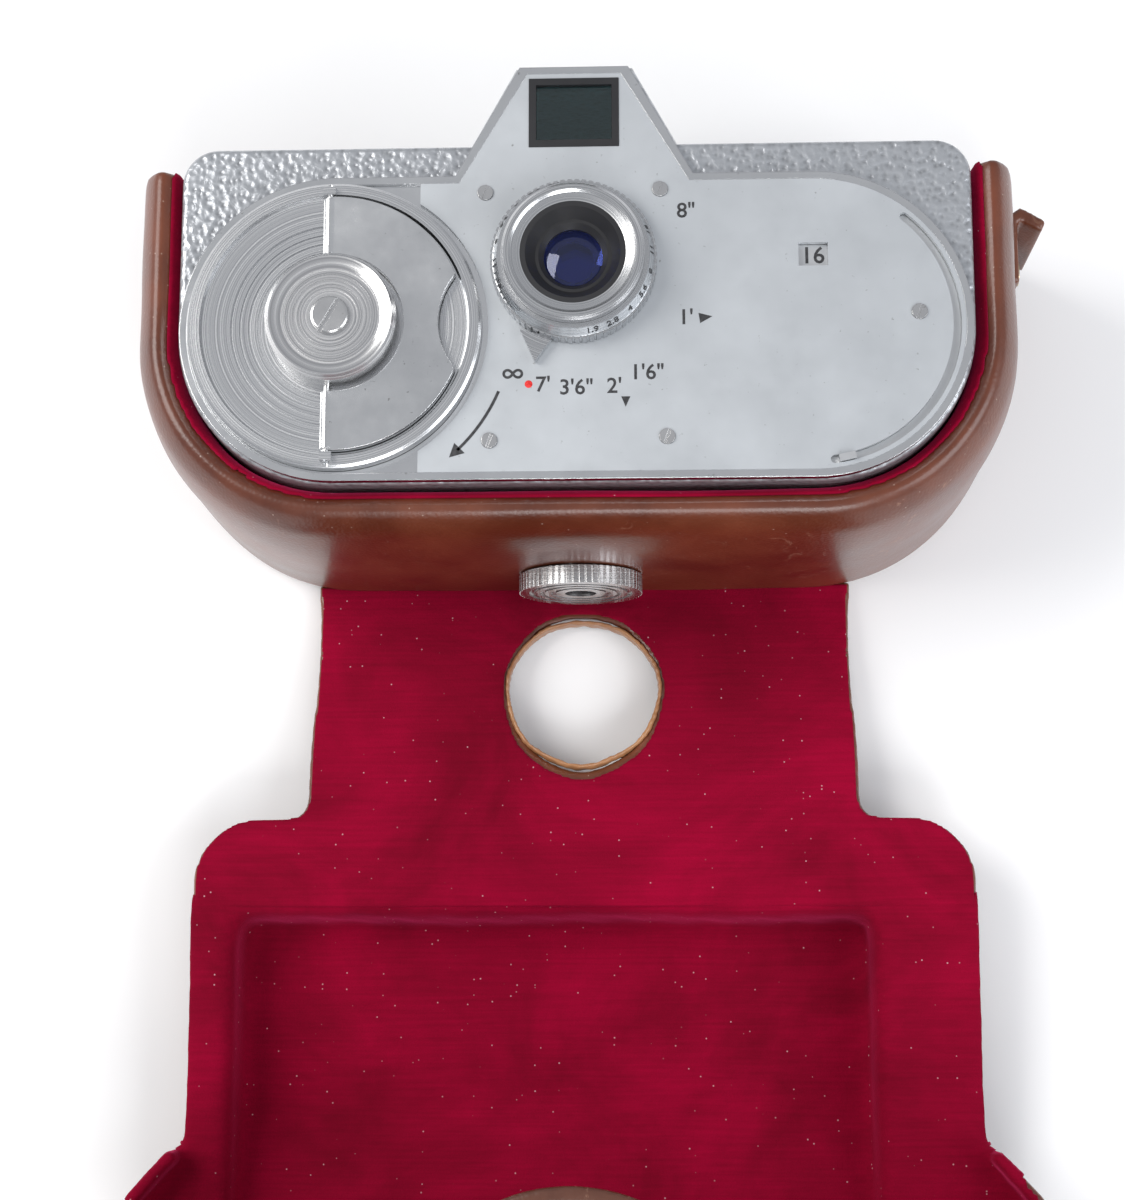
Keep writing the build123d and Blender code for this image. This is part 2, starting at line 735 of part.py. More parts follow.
with BuildPart() as lens_barrel:
    with BuildSketch(Plane.XY.offset(front_z - 6)):
        Circle(barrel_radius)
        Circle(barrel_radius - 1.6, mode=Mode.SUBTRACT)
    extrude(amount=front_low - front_z + 6)
lens_barrel.part.label = "lens_barrel"
export_step(lens_barrel.part, "parts/lens_barrel.step")

with BuildPart() as focus_ring:
    with BuildSketch(Plane.XY.offset(focus_low)):
        Circle(focus_ring_radius)
        # knurled edge
        with PolarLocations(focus_ring_radius, 72):
            Circle(0.28, mode=Mode.SUBTRACT)
    extrude(amount=focus_height)
    # pointer that reads on the distance scale
    with BuildSketch(Plane.XY.offset(focus_low)):
        with BuildLine():
            Polyline(
                (-10.2, -13.4),
                (-7.4, -19.6),
                (-3.9, -14.9),
                close=True,
            )
        make_face()
    extrude(amount=1.6)
    with BuildSketch(Plane.XY.offset(focus_low)):
        Circle(barrel_radius + shaft_fit)
    extrude(amount=focus_height, mode=Mode.SUBTRACT)
focus_ring.part.label = "focus_ring"
export_step(focus_ring.part, "parts/focus_ring.step")

with BuildPart() as aperture_ring:
    with BuildSketch(Plane.XY.offset(aperture_low)):
        Circle(focus_ring_radius - 0.4)
    extrude(amount=aperture_height, taper=22)
    with BuildSketch(Plane.XY.offset(aperture_low)):
        Circle(barrel_radius + shaft_fit)
    extrude(amount=aperture_height, mode=Mode.SUBTRACT)
aperture_ring.part.label = "aperture_ring"
export_step(aperture_ring.part, "parts/aperture_ring.step")

with BuildPart() as front_ring:
    with BuildSketch(Plane.XZ):
        with BuildLine():
            Polyline(
                (barrel_radius - 1.6, front_low),
                (front_ring_radius, front_low),
                (front_ring_radius, lens_top - 0.5),
                (front_ring_radius - 0.5, lens_top),
                (front_ring_radius - 1.4, lens_top),
                (barrel_radius, lens_top - 0.4),
                (barrel_radius - 1.6, lens_top - 0.8),
                close=True,
            )
        make_face()
    revolve(axis=Axis.Z)
front_ring.part.label = "front_ring"
export_step(front_ring.part, "parts/front_ring.step")

glass_radius = 5.6
with BuildPart() as lens_funnel:
    with BuildSketch(Plane.XZ):
        with BuildLine():
            Polyline(
                (glass_radius, lens_top - funnel_depth),
                (barrel_radius - 1.65, lens_top - funnel_depth),
                (barrel_radius - 1.65, lens_top - 0.8),
                (barrel_radius - 2.6, lens_top - 0.8),
                (glass_radius + 1.6, lens_top - 3.2),
                (glass_radius + 1.0, lens_top - 3.2),
                (glass_radius, lens_top - funnel_depth + 0.6),
                close=True,
            )
        make_face()
    revolve(axis=Axis.Z)
lens_funnel.part.label = "lens_funnel"
export_step(lens_funnel.part, "parts/lens_funnel.step")

dome = 1.2
dome_radius = (glass_radius ** 2 + dome ** 2) / (2 * dome)
front_glass_z = lens_top - funnel_depth
with BuildPart() as front_glass:
    with BuildSketch(Plane.XZ):
        with BuildLine():
            edge_line = Polyline(
                (0, front_glass_z + dome), (0, front_glass_z - 1.8), (glass_radius, front_glass_z - 1.8),
                (glass_radius, front_glass_z),
            )
            CenterArc(
                (0, front_glass_z + dome - dome_radius), dome_radius,
                90 - degrees(asin(glass_radius / dome_radius)), degrees(asin(glass_radius / dome_radius)),
            )
        make_face()
    revolve(axis=Axis.Z)
front_glass.part.label = "front_glass"
export_step(front_glass.part, "parts/front_glass.step")

iris_z = front_glass_z - 3.4
inner_radius = barrel_radius - 1.65
with BuildPart() as iris_blades:
    with BuildSketch(Plane.XY.offset(iris_z)):
        Circle(inner_radius)
        RegularPolygon(3.6, 8, mode=Mode.SUBTRACT)
    extrude(amount=0.4)
iris_blades.part.label = "iris_blades"
export_step(iris_blades.part, "parts/iris_blades.step")

with BuildPart() as rear_glass:
    with BuildSketch(Plane.XY.offset(iris_z - 4.0)):
        Circle(inner_radius - 1.5)
    extrude(amount=2.0)
    fillet(rear_glass.faces().sort_by(Axis.Z)[0].edges(), radius=0.9)
rear_glass.part.label = "rear_glass"
export_step(rear_glass.part, "parts/rear_glass.step")

with BuildPart() as rear_cell:
    with BuildSketch(Plane.XY.offset(iris_z - 4.4)):
        Circle(inner_radius)
        Circle(inner_radius - 1.5, mode=Mode.SUBTRACT)
    extrude(amount=4.0)
rear_cell.part.label = "rear_cell"
export_step(rear_cell.part, "parts/rear_cell.step")

# ================================================================ speed selector
with BuildPart() as speed_disc:
    with BuildSketch(Plane(origin=(speed_x, stadium_y, front_z + 0.1))):
        Circle(slot_radius_middle + 1.0)
    extrude(amount=bezel_base - 0.4)
    # grip that stands up through the curved slot
    with BuildSketch(Plane(origin=(speed_x, stadium_y, front_z + 0.1))):
        with PolarLocations(slot_radius_middle, 1, start_angle=speed_rest):
            Rectangle(2 * slot_half_width - 0.3, 3.2)
    extrude(amount=bezel_base + plate_thickness + 0.7)
speed_disc.part.label = "speed_disc"
export_step(speed_disc.part, "parts/speed_disc.step")

# ================================================================ release on the top edge
release_plane = Plane(origin=(release_x, body_top, release_z), z_dir=(0, 1, 0))
with BuildPart() as release_collar:
    with BuildSketch(release_plane):
        Circle(collar_radius)
        with PolarLocations(collar_radius, 28):
            Circle(0.2, mode=Mode.SUBTRACT)
        Circle(button_radius + shaft_fit, mode=Mode.SUBTRACT)
    extrude(amount=1.6)
release_collar.part.label = "release_collar"
export_step(release_collar.part, "parts/release_collar.step")

with BuildPart() as release_button:
    with BuildSketch(release_plane.offset(-5.0)):
        Circle(button_radius)
    extrude(amount=7.4)
    with BuildSketch(release_plane.offset(2.4)):
        Circle(0.9)
    extrude(amount=-3.0, mode=Mode.SUBTRACT)
release_button.part.label = "release_button"
export_step(release_button.part, "parts/release_button.step")

# ================================================================ gear train and film path
train_angle = radians(20)
centre_distance = gear_module * (barrel_teeth + pinion_teeth) / 2
second_distance = gear_module * (wheel_teeth + pinion_teeth) / 2
middle_x = disc_x + centre_distance * cos(train_angle)
middle_y = stadium_y + centre_distance * sin(train_angle)
shutter_angle = radians(-35)
shutter_x = middle_x + second_distance * cos(shutter_angle)
shutter_y = middle_y + second_distance * sin(shutter_angle)
governor_angle = radians(150)
governor_x = middle_x + second_distance * cos(governor_angle)
governor_y = middle_y + second_distance * sin(governor_angle)
wheel_z = drum_back_z - 4.8
rear_plate_z = wheel_z - 11.0
mech_back_z = mech_front_z - mech_plate
shaft_radius = 1.2
shutter_z = mech_back_z - 2.6
gate_z = mech_back_z - 7.4


def mesh_phase(driver_teeth, driver_phase, driven_teeth, angle):
    """Return the driven wheel's phase that puts a gap against the driver's tooth."""
    driver_step = 360 / driver_teeth
    driven_step = 360 / driven_teeth
    share = ((angle - driver_phase) % driver_step) / driver_step
    return angle + 180 - driven_step * (0.5 - share)


middle_phase = mesh_phase(barrel_teeth, 0, pinion_teeth, degrees(train_angle))
shutter_phase = mesh_phase(wheel_teeth, 0, pinion_teeth, degrees(shutter_angle))
governor_phase = mesh_phase(wheel_teeth, 0, pinion_teeth, degrees(governor_angle))

with BuildPart() as middle_wheel:
    with BuildSketch(Plane(origin=(middle_x, middle_y, rear_plate_z))):
        Circle(shaft_radius)
    extrude(amount=mech_front_z - rear_plate_z)
    with BuildSketch(Plane(origin=(middle_x, middle_y, wheel_z))):
        gear_outline(wheel_teeth, 0)
    extrude(amount=gear_thickness)
    with BuildSketch(Plane(origin=(middle_x, middle_y, wheel_z + gear_thickness))):
        gear_outline(pinion_teeth, middle_phase)
    extrude(amount=drum_back_z + gear_thickness - wheel_z - gear_thickness)
middle_wheel.part.label = "middle_wheel"
export_step(middle_wheel.part, "parts/middle_wheel.step")

with BuildPart() as shutter_shaft:
    with BuildSketch(Plane(origin=(shutter_x, shutter_y, rear_plate_z))):
        Circle(shaft_radius)
    extrude(amount=mech_front_z - rear_plate_z)
    with BuildSketch(Plane(origin=(shutter_x, shutter_y, wheel_z))):
        gear_outline(pinion_teeth, shutter_phase)
    extrude(amount=gear_thickness)
    # eccentric that drives the claw
    with BuildSketch(Plane(origin=(shutter_x + 0.5, shutter_y, gate_z + 2.2))):
        Circle(2.4)
    extrude(amount=1.2)
shutter_shaft.part.label = "shutter_shaft"
export_step(shutter_shaft.part, "parts/shutter_shaft.step")

shutter_radius = 19.0
with BuildPart() as shutter_disc:
    with BuildSketch(Plane(origin=(shutter_x, shutter_y, shutter_z))):
        Circle(shutter_radius)
        with BuildLine():
            opening = CenterArc((0, 0), shutter_radius + 2, 60, 150)
            Line(opening @ 1, (0, 0))
            Line((0, 0), opening @ 0)
        make_face(mode=Mode.SUBTRACT)
        Circle(4.0)
        Circle(shaft_radius, mode=Mode.SUBTRACT)
    extrude(amount=0.6)
shutter_disc.part.label = "shutter_disc"
export_step(shutter_disc.part, "parts/shutter_disc.step")

with BuildPart() as governor:
    with BuildSketch(Plane(origin=(governor_x, governor_y, rear_plate_z))):
        Circle(shaft_radius)
    extrude(amount=wheel_z + gear_thickness - rear_plate_z)
    with BuildSketch(Plane(origin=(governor_x, governor_y, wheel_z))):
        gear_outline(pinion_teeth, governor_phase)
    extrude(amount=gear_thickness)
    for side in (-1, 1):
        with BuildSketch(Plane(origin=(governor_x + side * 4.6, governor_y, rear_plate_z + 4))):
            Circle(2.6)
        extrude(amount=4)
    with BuildSketch(Plane(origin=(governor_x, governor_y, rear_plate_z + 5))):
        Rectangle(9, 2)
    extrude(amount=1.5)
governor.part.label = "governor"
export_step(governor.part, "parts/governor.step")

shafts = ((middle_x, middle_y), (shutter_x, shutter_y))
gate_posts = ((-13.0, 8.0), (13.0, 8.0))
plate_posts = ((-56.0, 14.0), (-24.0, -35.0), (15.0, 15.0))
mech_plate_centre = (-22.0, -10.0)
mech_plate_size = (80.0, 56.0)
post_radius = 2.0
with BuildPart() as front_mech_plate:
    with BuildSketch(Plane.XY.offset(mech_back_z)):
        with Locations(mech_plate_centre):
            RectangleRounded(*mech_plate_size, 12)
        Circle(barrel_radius + 0.6, mode=Mode.SUBTRACT)
        with Locations((disc_x, stadium_y)):
            Circle(arbor_radius + shaft_fit, mode=Mode.SUBTRACT)
        with Locations(*shafts):
            Circle(shaft_radius + shaft_fit, mode=Mode.SUBTRACT)
    extrude(amount=mech_plate)
front_mech_plate.part.label = "front_mech_plate"
export_step(front_mech_plate.part, "parts/front_mech_plate.step")

with BuildPart() as rear_mech_plate:
    with BuildSketch(Plane.XY.offset(rear_plate_z - 0.4)):
        with Locations(mech_plate_centre):
            RectangleRounded(*mech_plate_size, 12)
        with Locations(*shafts, (governor_x, governor_y)):
            Circle(shaft_radius + shaft_fit, mode=Mode.SUBTRACT)
    extrude(amount=mech_plate)
    with BuildSketch(Plane(origin=(disc_x, stadium_y, rear_plate_z))):
        Circle(4.0)
    extrude(amount=drum_back_z - rear_plate_z - running_gap)
rear_mech_plate.part.label = "rear_mech_plate"
export_step(rear_mech_plate.part, "parts/rear_mech_plate.step")

with BuildPart() as mech_pillars:
    with BuildSketch(Plane.XY.offset(rear_plate_z - 0.4 + mech_plate)):
        with Locations(*plate_posts):
            Circle(post_radius)
    extrude(amount=mech_back_z - rear_plate_z + 0.4 - mech_plate)
mech_pillars.part.label = "mech_pillars"
export_step(mech_pillars.part, "parts/mech_pillars.step")

with BuildPart() as film_gate:
    with BuildSketch(Plane.XY.offset(gate_z)):
        with Locations((0, 0.5)):
            RectangleRounded(32, 19, 2)
        Rectangle(4.9, 3.7, mode=Mode.SUBTRACT)
    extrude(amount=1.2)
    with BuildSketch(Plane.XY.offset(gate_z + 1.2)):
        with Locations(*gate_posts):
            Circle(1.2)
    extrude(amount=mech_back_z - gate_z - 1.2)
film_gate.part.label = "film_gate"
export_step(film_gate.part, "parts/film_gate.step")

with BuildPart() as pressure_plate:
    with BuildSketch(Plane.XY.offset(gate_z - 1.6)):
        RectangleRounded(24, film_width, 1.5)
    extrude(amount=1.2)
pressure_plate.part.label = "pressure_plate"
export_step(pressure_plate.part, "parts/pressure_plate.step")

with BuildPart() as film_claw:
    with BuildSketch(Plane.XY.offset(gate_z + 2.3)):
        with Locations((shutter_x, shutter_y)):
            Circle(5.2)
        with Locations((shutter_x + 3.4, (shutter_y - 3) / 2)):
            Rectangle(2.6, -shutter_y - 3)
        with Locations((shutter_x, shutter_y)):
            Circle(3.2, mode=Mode.SUBTRACT)
    extrude(amount=0.8)
film_claw.part.label = "film_claw"
export_step(film_claw.part, "parts/film_claw.step")

# ---------------------------------------------------------------- spools, on one upright spindle
spool_x = 48.0
spool_z = back_z + wall + (body_depth - 2 * wall - 0.4) / 2
spool_top = 17.0
spool_gap = 0.6
spindle_radius = 3.0
core_radius = 8.0
flange_thickness = 0.7


def spool_plane(y):
    """Return a plane across the spool spindle at height y."""
    return Plane(origin=(spool_x, y, spool_z), z_dir=(0, 1, 0))


def flange_shape():
    """Draw a spool flange with its window slots and spindle hole."""
    Circle(spool_radius)
    Circle(spindle_radius + shaft_fit, mode=Mode.SUBTRACT)
    with PolarLocations(15.5, 3):
        Circle(3.4, mode=Mode.SUBTRACT)


spool_bases = {
    "supply_spool": spool_top - spool_width,
    "takeup_spool": spool_top - 2 * spool_width - spool_gap,
}
film_radii = {"supply_spool": 22.0, "takeup_spool": 11.5}
for spool_name, base_y in spool_bases.items():
    with BuildPart() as spool:
        for flange_y in (base_y, base_y + spool_width - flange_thickness):
            with BuildSketch(spool_plane(flange_y)):
                flange_shape()
            extrude(amount=flange_thickness)
        with BuildSketch(spool_plane(base_y)):
            Circle(core_radius)
            Circle(spindle_radius + shaft_fit, mode=Mode.SUBTRACT)
        extrude(amount=spool_width)
    spool.part.label = spool_name
    export_step(spool.part, f"parts/{spool_name}.step")
    with BuildPart() as film_roll:
        with BuildSketch(spool_plane(base_y + flange_thickness)):
            Circle(film_radii[spool_name])
            Circle(core_radius, mode=Mode.SUBTRACT)
        extrude(amount=spool_width - 2 * flange_thickness)
    film_name = spool_name.replace("spool", "film")
    film_roll.part.label = film_name
    export_step(film_roll.part, f"parts/{film_name}.step")

spindle_low = body_bottom + wall + 0.6
with BuildPart() as spool_spindle:
    with BuildSketch(spool_plane(spindle_low)):
        Circle(spindle_radius)
    extrude(amount=body_top - wall - spindle_low)
    with BuildSketch(spool_plane(spindle_low + 2)):
        Circle(5.0)
    extrude(amount=spool_bases["takeup_spool"] - spindle_low - 2 - running_gap)
spool_spindle.part.label = "spool_spindle"
export_step(spool_spindle.part, "parts/spool_spindle.step")

# ================================================================ tripod bush and retaining knob
bush_length = 8.0
bush_radius = 6.0
boss_length = 5.0
socket_depth = 7.0
stud_radius = tripod_radius - 0.08


def bottom_plane(y):
    """Return a plane across the retaining screw at height y, facing down."""
    return Plane(origin=(0, y, knob_height), z_dir=(0, -1, 0))


with BuildPart() as tripod_bush:
    with BuildSketch(bottom_plane(body_bottom + bush_length)):
        Circle(bush_radius)
        Circle(tripod_radius, mode=Mode.SUBTRACT)
    extrude(amount=bush_length)
    with BuildSketch(bottom_plane(body_bottom + wall + 1.6)):
        Circle(bush_radius + 3)
        Circle(tripod_radius, mode=Mode.SUBTRACT)
    extrude(amount=1.6)
tripod_bush.part.label = "tripod_bush"
export_step(tripod_bush.part, "parts/tripod_bush.step")

knob_face = case_bottom - running_gap - knob_thickness
with BuildPart() as retaining_knob:
    with BuildSketch(bottom_plane(case_bottom - running_gap)):
        Circle(knob_radius)
        with PolarLocations(knob_radius, 60):
            Circle(0.32, mode=Mode.SUBTRACT)
    extrude(amount=knob_thickness)
    with BuildSketch(bottom_plane(case_bottom + boss_length)):
        Circle(boss_radius)
    extrude(amount=boss_length + running_gap)
    with BuildSketch(bottom_plane(body_bottom + bush_length - 1)):
        Circle(stud_radius)
    extrude(amount=body_bottom + bush_length - 1 - case_bottom - boss_length)
    # rings turned into the face
    with BuildSketch(bottom_plane(knob_face)):
        for ring in range(3):
            outer = knob_radius - 2.0 - 2.2 * ring
            Circle(outer)
            Circle(outer - 1.0, mode=Mode.SUBTRACT)
    extrude(amount=-0.5, mode=Mode.SUBTRACT)
    with BuildSketch(bottom_plane(knob_face)):
        Circle(tripod_radius)
    extrude(amount=-socket_depth, mode=Mode.SUBTRACT)
retaining_knob.part.label = "retaining_knob"
export_step(retaining_knob.part, "parts/retaining_knob.step")
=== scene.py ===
"""Looks of the cine camera in its opened leather case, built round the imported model."""

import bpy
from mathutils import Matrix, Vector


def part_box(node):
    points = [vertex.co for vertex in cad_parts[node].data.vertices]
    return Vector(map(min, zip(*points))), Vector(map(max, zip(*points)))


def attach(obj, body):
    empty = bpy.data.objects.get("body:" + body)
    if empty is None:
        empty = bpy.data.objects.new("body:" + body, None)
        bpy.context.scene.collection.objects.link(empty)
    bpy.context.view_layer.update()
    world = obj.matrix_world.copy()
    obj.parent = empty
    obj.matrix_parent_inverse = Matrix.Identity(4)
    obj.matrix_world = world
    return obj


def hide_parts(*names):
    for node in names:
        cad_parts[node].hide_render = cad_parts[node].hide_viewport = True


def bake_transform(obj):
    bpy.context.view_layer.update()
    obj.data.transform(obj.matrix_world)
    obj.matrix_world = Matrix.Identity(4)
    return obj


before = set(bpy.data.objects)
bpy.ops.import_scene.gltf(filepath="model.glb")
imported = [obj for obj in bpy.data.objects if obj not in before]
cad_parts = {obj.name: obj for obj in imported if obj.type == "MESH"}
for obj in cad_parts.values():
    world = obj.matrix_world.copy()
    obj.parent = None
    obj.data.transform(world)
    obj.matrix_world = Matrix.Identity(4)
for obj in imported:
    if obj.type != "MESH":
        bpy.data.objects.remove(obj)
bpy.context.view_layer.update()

import logging
import math
from dataclasses import dataclass
from enum import Enum

import bmesh
import bpy
import numpy as np
from mathutils import Matrix, Vector
from mathutils.bvhtree import BVHTree

logging.basicConfig(level=logging.INFO, format="%(name)s: %(message)s")
LOG = logging.getLogger("cine_camera")

MM = 0.001
Colour = tuple[float, float, float]


# ------------------------------------------------------------------ small helpers
def deselect() -> None:
    """Deselect every object and leave edit mode."""
    if bpy.context.object and bpy.context.object.mode != "OBJECT":
        bpy.ops.object.mode_set(mode="OBJECT")
    bpy.ops.object.select_all(action="DESELECT")


def activate(piece: bpy.types.Object) -> None:
    """Make one object the only selected and active one.

    Args:
        piece: The object to work on.
    """
    deselect()
    piece.select_set(True)
    bpy.context.view_layer.objects.active = piece


def apply_modifier(piece: bpy.types.Object, kind: str, **values: object) -> None:
    """Add a modifier, set its values and apply it.

    Args:
        piece: The object that gets the modifier.
        kind: The modifier's type name.
        values: The modifier's settings.
    """
    activate(piece)
    modifier = piece.modifiers.new(kind.lower(), kind)
    for name, value in values.items():
        setattr(modifier, name, value)
    bpy.ops.object.modifier_apply(modifier=modifier.name)


def clean_normals(piece: bpy.types.Object) -> None:
    """Merge doubles and point all faces outwards.

    Args:
        piece: The mesh object to clean.
    """
    activate(piece)
    bpy.ops.object.mode_set(mode="EDIT")
    bpy.ops.mesh.select_all(action="SELECT")
    bpy.ops.mesh.remove_doubles(threshold=1e-6)
    bpy.ops.mesh.normals_make_consistent(inside=False)
    bpy.ops.object.mode_set(mode="OBJECT")


def smooth(piece: bpy.types.Object, angle: float = 35.0) -> None:
    """Shade a piece smooth up to an angle in degrees.

    Args:
        piece: The mesh object.
        angle: Edges sharper than this stay sharp.
    """
    activate(piece)
    bpy.ops.object.shade_smooth_by_angle(angle=math.radians(angle))


def node_copy(node: str, name: str) -> bpy.types.Object:
    """Copy a CAD node into a piece of its own, with its corners merged.

    Args:
        node: The CAD node's name.
        name: The new piece's name.

    Returns:
        The copied object, at the origin.
    """
    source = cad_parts[node]
    piece = bpy.data.objects.new(name, source.data.copy())
    piece.data.materials.clear()
    bpy.context.scene.collection.objects.link(piece)
    clean_normals(piece)
    if piece.data.has_custom_normals:
        activate(piece)
        bpy.ops.mesh.customdata_custom_splitnormals_clear()
    return piece


def dress(piece: bpy.types.Object, material: bpy.types.Material) -> None:
    """Give a new piece its only material."""
    piece.data.materials.clear()
    piece.data.materials.append(material)


def dress_node(node: str, material: bpy.types.Material) -> None:
    """Put a material in every slot of a CAD node.

    Args:
        node: The CAD node's name.
        material: The material.
    """
    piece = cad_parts[node]
    if not piece.material_slots:
        piece.data.materials.append(material)
    for slot in piece.material_slots:
        slot.material = material


def finish_piece(piece: bpy.types.Object, body: str, slot: str, *nodes: str) -> None:
    """Let a piece ride on a body and stand for CAD nodes.

    Args:
        piece: The new piece.
        body: The body that it moves with.
        slot: Not used.
        nodes: The CAD nodes that it replaces.
    """
    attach(piece, body)
    if nodes:
        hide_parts(*nodes)
    LOG.info("%s rides on %s with %d faces", piece.name, body, len(piece.data.polygons))


def centre_of(node: str) -> Vector:
    """Return the middle of a node's box."""
    low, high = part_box(node)
    return (Vector(low) + Vector(high)) / 2


# ------------------------------------------------------------------ shader building
class Shader:
    """A material's node tree, with short calls to add and join nodes."""

    def __init__(self, name: str) -> None:
        """Start an empty material with a Principled surface."""
        self.material = bpy.data.materials.new(name)
        self.material.use_nodes = True
        self.tree = self.material.node_tree
        self.surface = self.tree.nodes["Principled BSDF"]
        self.coordinates = self.tree.nodes.new("ShaderNodeTexCoord")

    def node(self, kind: str, **values: object) -> bpy.types.Node:
        """Add a node and set its properties or unlinked inputs.

        Args:
            kind: The node's type name.
            values: Properties, or inputs named with underscores for spaces.

        Returns:
            The new node.
        """
        return add_node(self.tree, kind, **values)

    def link(self, source: bpy.types.NodeSocket, target: bpy.types.NodeSocket) -> None:
        """Join two sockets."""
        self.tree.links.new(source, target)

    def place(self, centre: Vector = Vector((0, 0, 0))) -> bpy.types.NodeSocket:
        """Read the object coordinates.

        Args:
            centre: The place that becomes the origin, in metres.

        Returns:
            The coordinates.
        """
        mapping = self.node("ShaderNodeMapping")
        mapping.inputs["Location"].default_value = [-value for value in centre]
        self.link(self.coordinates.outputs["Object"], mapping.inputs["Vector"])
        return mapping.outputs["Vector"]

    def effect(self, group: bpy.types.NodeTree, **values: object) -> bpy.types.Node:
        """Place a shared effect group and set its inputs.

        Args:
            group: The effect.
            values: Input names with underscores for spaces.

        Returns:
            The group node.
        """
        holder = self.tree.nodes.new("ShaderNodeGroup")
        holder.node_tree = group
        for name, value in values.items():
            holder.inputs[name.replace("_", " ")].default_value = value
        return holder

    def bump(self, height: bpy.types.NodeSocket, strength: float, distance: float) -> bpy.types.NodeSocket:
        """Roughen the normal by a height.

        Args:
            height: The height.
            strength: How much of it shows.
            distance: The height of 1, in mm.

        Returns:
            The normal.
        """
        node = self.node("ShaderNodeBump", Strength=strength, Distance=distance * MM)
        self.link(height, node.inputs["Height"])
        return node.outputs["Normal"]

    def set(self, **values: object) -> None:
        """Set constants on the Principled surface."""
        for name, value in values.items():
            self.surface.inputs[name.replace("_", " ")].default_value = value

    def feed(self, **sockets: bpy.types.NodeSocket) -> None:
        """Join sockets to the Principled surface's inputs."""
        for name, socket in sockets.items():
            self.link(socket, self.surface.inputs[name.replace("_", " ")])


def add_node(tree: bpy.types.NodeTree, kind: str, **values: object) -> bpy.types.Node:
    """Add a node to a tree and set its properties or inputs.

    Args:
        tree: The node tree.
        kind: The node's type name.
        values: Property names, or input names with underscores for spaces.

    Returns:
        The new node.
    """
    node = tree.nodes.new(kind)
    for name, value in values.items():
        if hasattr(node, name):
            setattr(node, name, value)
        else:
            node.inputs[name.replace("_", " ")].default_value = value
    return node


def new_group(name: str, inputs: dict[str, object], outputs: dict[str, str]) -> tuple:
    """Start a shader node group with named sockets.

    Args:
        name: The group's name.
        inputs: Input name to default value; a number makes a float, four numbers a colour.
        outputs: Output name to socket type.

    Returns:
        The tree, its input node and its output node.
    """
    tree = bpy.data.node_groups.new(name, "ShaderNodeTree")
    for label, value in inputs.items():
        kind = "NodeSocketFloat"
        if value is None:
            kind = "NodeSocketVector"
        elif isinstance(value, tuple):
            kind = "NodeSocketColor"
        socket = tree.interface.new_socket(name=label, in_out="INPUT", socket_type=kind)
        if value is not None:
            socket.default_value = value
    for label, kind in outputs.items():
        tree.interface.new_socket(name=label, in_out="OUTPUT", socket_type=kind)
    return tree, tree.nodes.new("NodeGroupInput"), tree.nodes.new("NodeGroupOutput")


def ramp(tree: bpy.types.NodeTree, source: bpy.types.NodeSocket, low: float, high: float,
         start: float = 0.0, end: float = 1.0) -> bpy.types.NodeSocket:
    """Map a value's range onto another with clamping.

    Args:
        tree: The node tree.
        source: The value.
        low: The value that gives start.
        high: The value that gives end.
        start: The result at low.
        end: The result at high.

    Returns:
        The mapped value.
    """
    node = add_node(tree, "ShaderNodeMapRange", From_Min=low, From_Max=high, To_Min=start, To_Max=end)
    tree.links.new(source, node.inputs["Value"])
    return node.outputs["Result"]


def mixed(tree: bpy.types.NodeTree, share: bpy.types.NodeSocket, first: object, second: object,
          blend: str = "MIX") -> bpy.types.NodeSocket:
    """Mix two colours by a mask.

    Args:
        tree: The node tree.
        share: The mask socket.
        first: The colour, or socket, at mask 0.
        second: The colour, or socket, at mask 1.
        blend: The blend type.

    Returns:
        The mixed colour.
    """
    node = tree.nodes.new("ShaderNodeMix")
    node.data_type = "RGBA"
    node.blend_type = blend
    tree.links.new(share, node.inputs[0])
    for socket, value in ((node.inputs[6], first), (node.inputs[7], second)):
        if isinstance(value, bpy.types.NodeSocket):
            tree.links.new(value, socket)
        else:
            socket.default_value = (*value, 1.0)
    return node.outputs[2]


# ------------------------------------------------------------------ shared effects
SURFACE_OUTPUTS = {"Colour": "NodeSocketColor", "Roughness": "NodeSocketFloat", "Height": "NodeSocketFloat"}


def combine(tree: bpy.types.NodeTree, operation: str, *values: object) -> bpy.types.NodeSocket:
    """Work out one number from sockets or constants.

    Args:
        tree: The node tree.
        operation: The math node's operation.
        values: Sockets or numbers, in order.

    Returns:
        The result's socket.
    """
    node = add_node(tree, "ShaderNodeMath", operation=operation)
    for socket, value in zip(node.inputs, values):
        if isinstance(value, bpy.types.NodeSocket):
            tree.links.new(value, socket)
        else:
            socket.default_value = value
    return node.outputs[0]


def tinted(tree: bpy.types.NodeTree, first: object, second: object) -> bpy.types.NodeSocket:
    """Multiply two colours fully.

    Args:
        tree: The node tree.
        first: A colour or a socket.
        second: A colour or a socket.

    Returns:
        The product.
    """
    whole = add_node(tree, "ShaderNodeValue")
    whole.outputs[0].default_value = 1.0
    return mixed(tree, whole.outputs[0], first, second, "MULTIPLY")


def texture(tree: bpy.types.NodeTree, place: bpy.types.NodeSocket, kind: str = "Noise",
            **values: object) -> bpy.types.Node:
    """Add a procedural texture that reads a place.

    Args:
        tree: The node tree.
        place: The coordinates.
        kind: Noise or Voronoi.
        values: The texture's settings.

    Returns:
        The texture node.
    """
    node = add_node(tree, "ShaderNodeTex" + kind, **values)
    tree.links.new(place, node.inputs["Vector"])
    return node


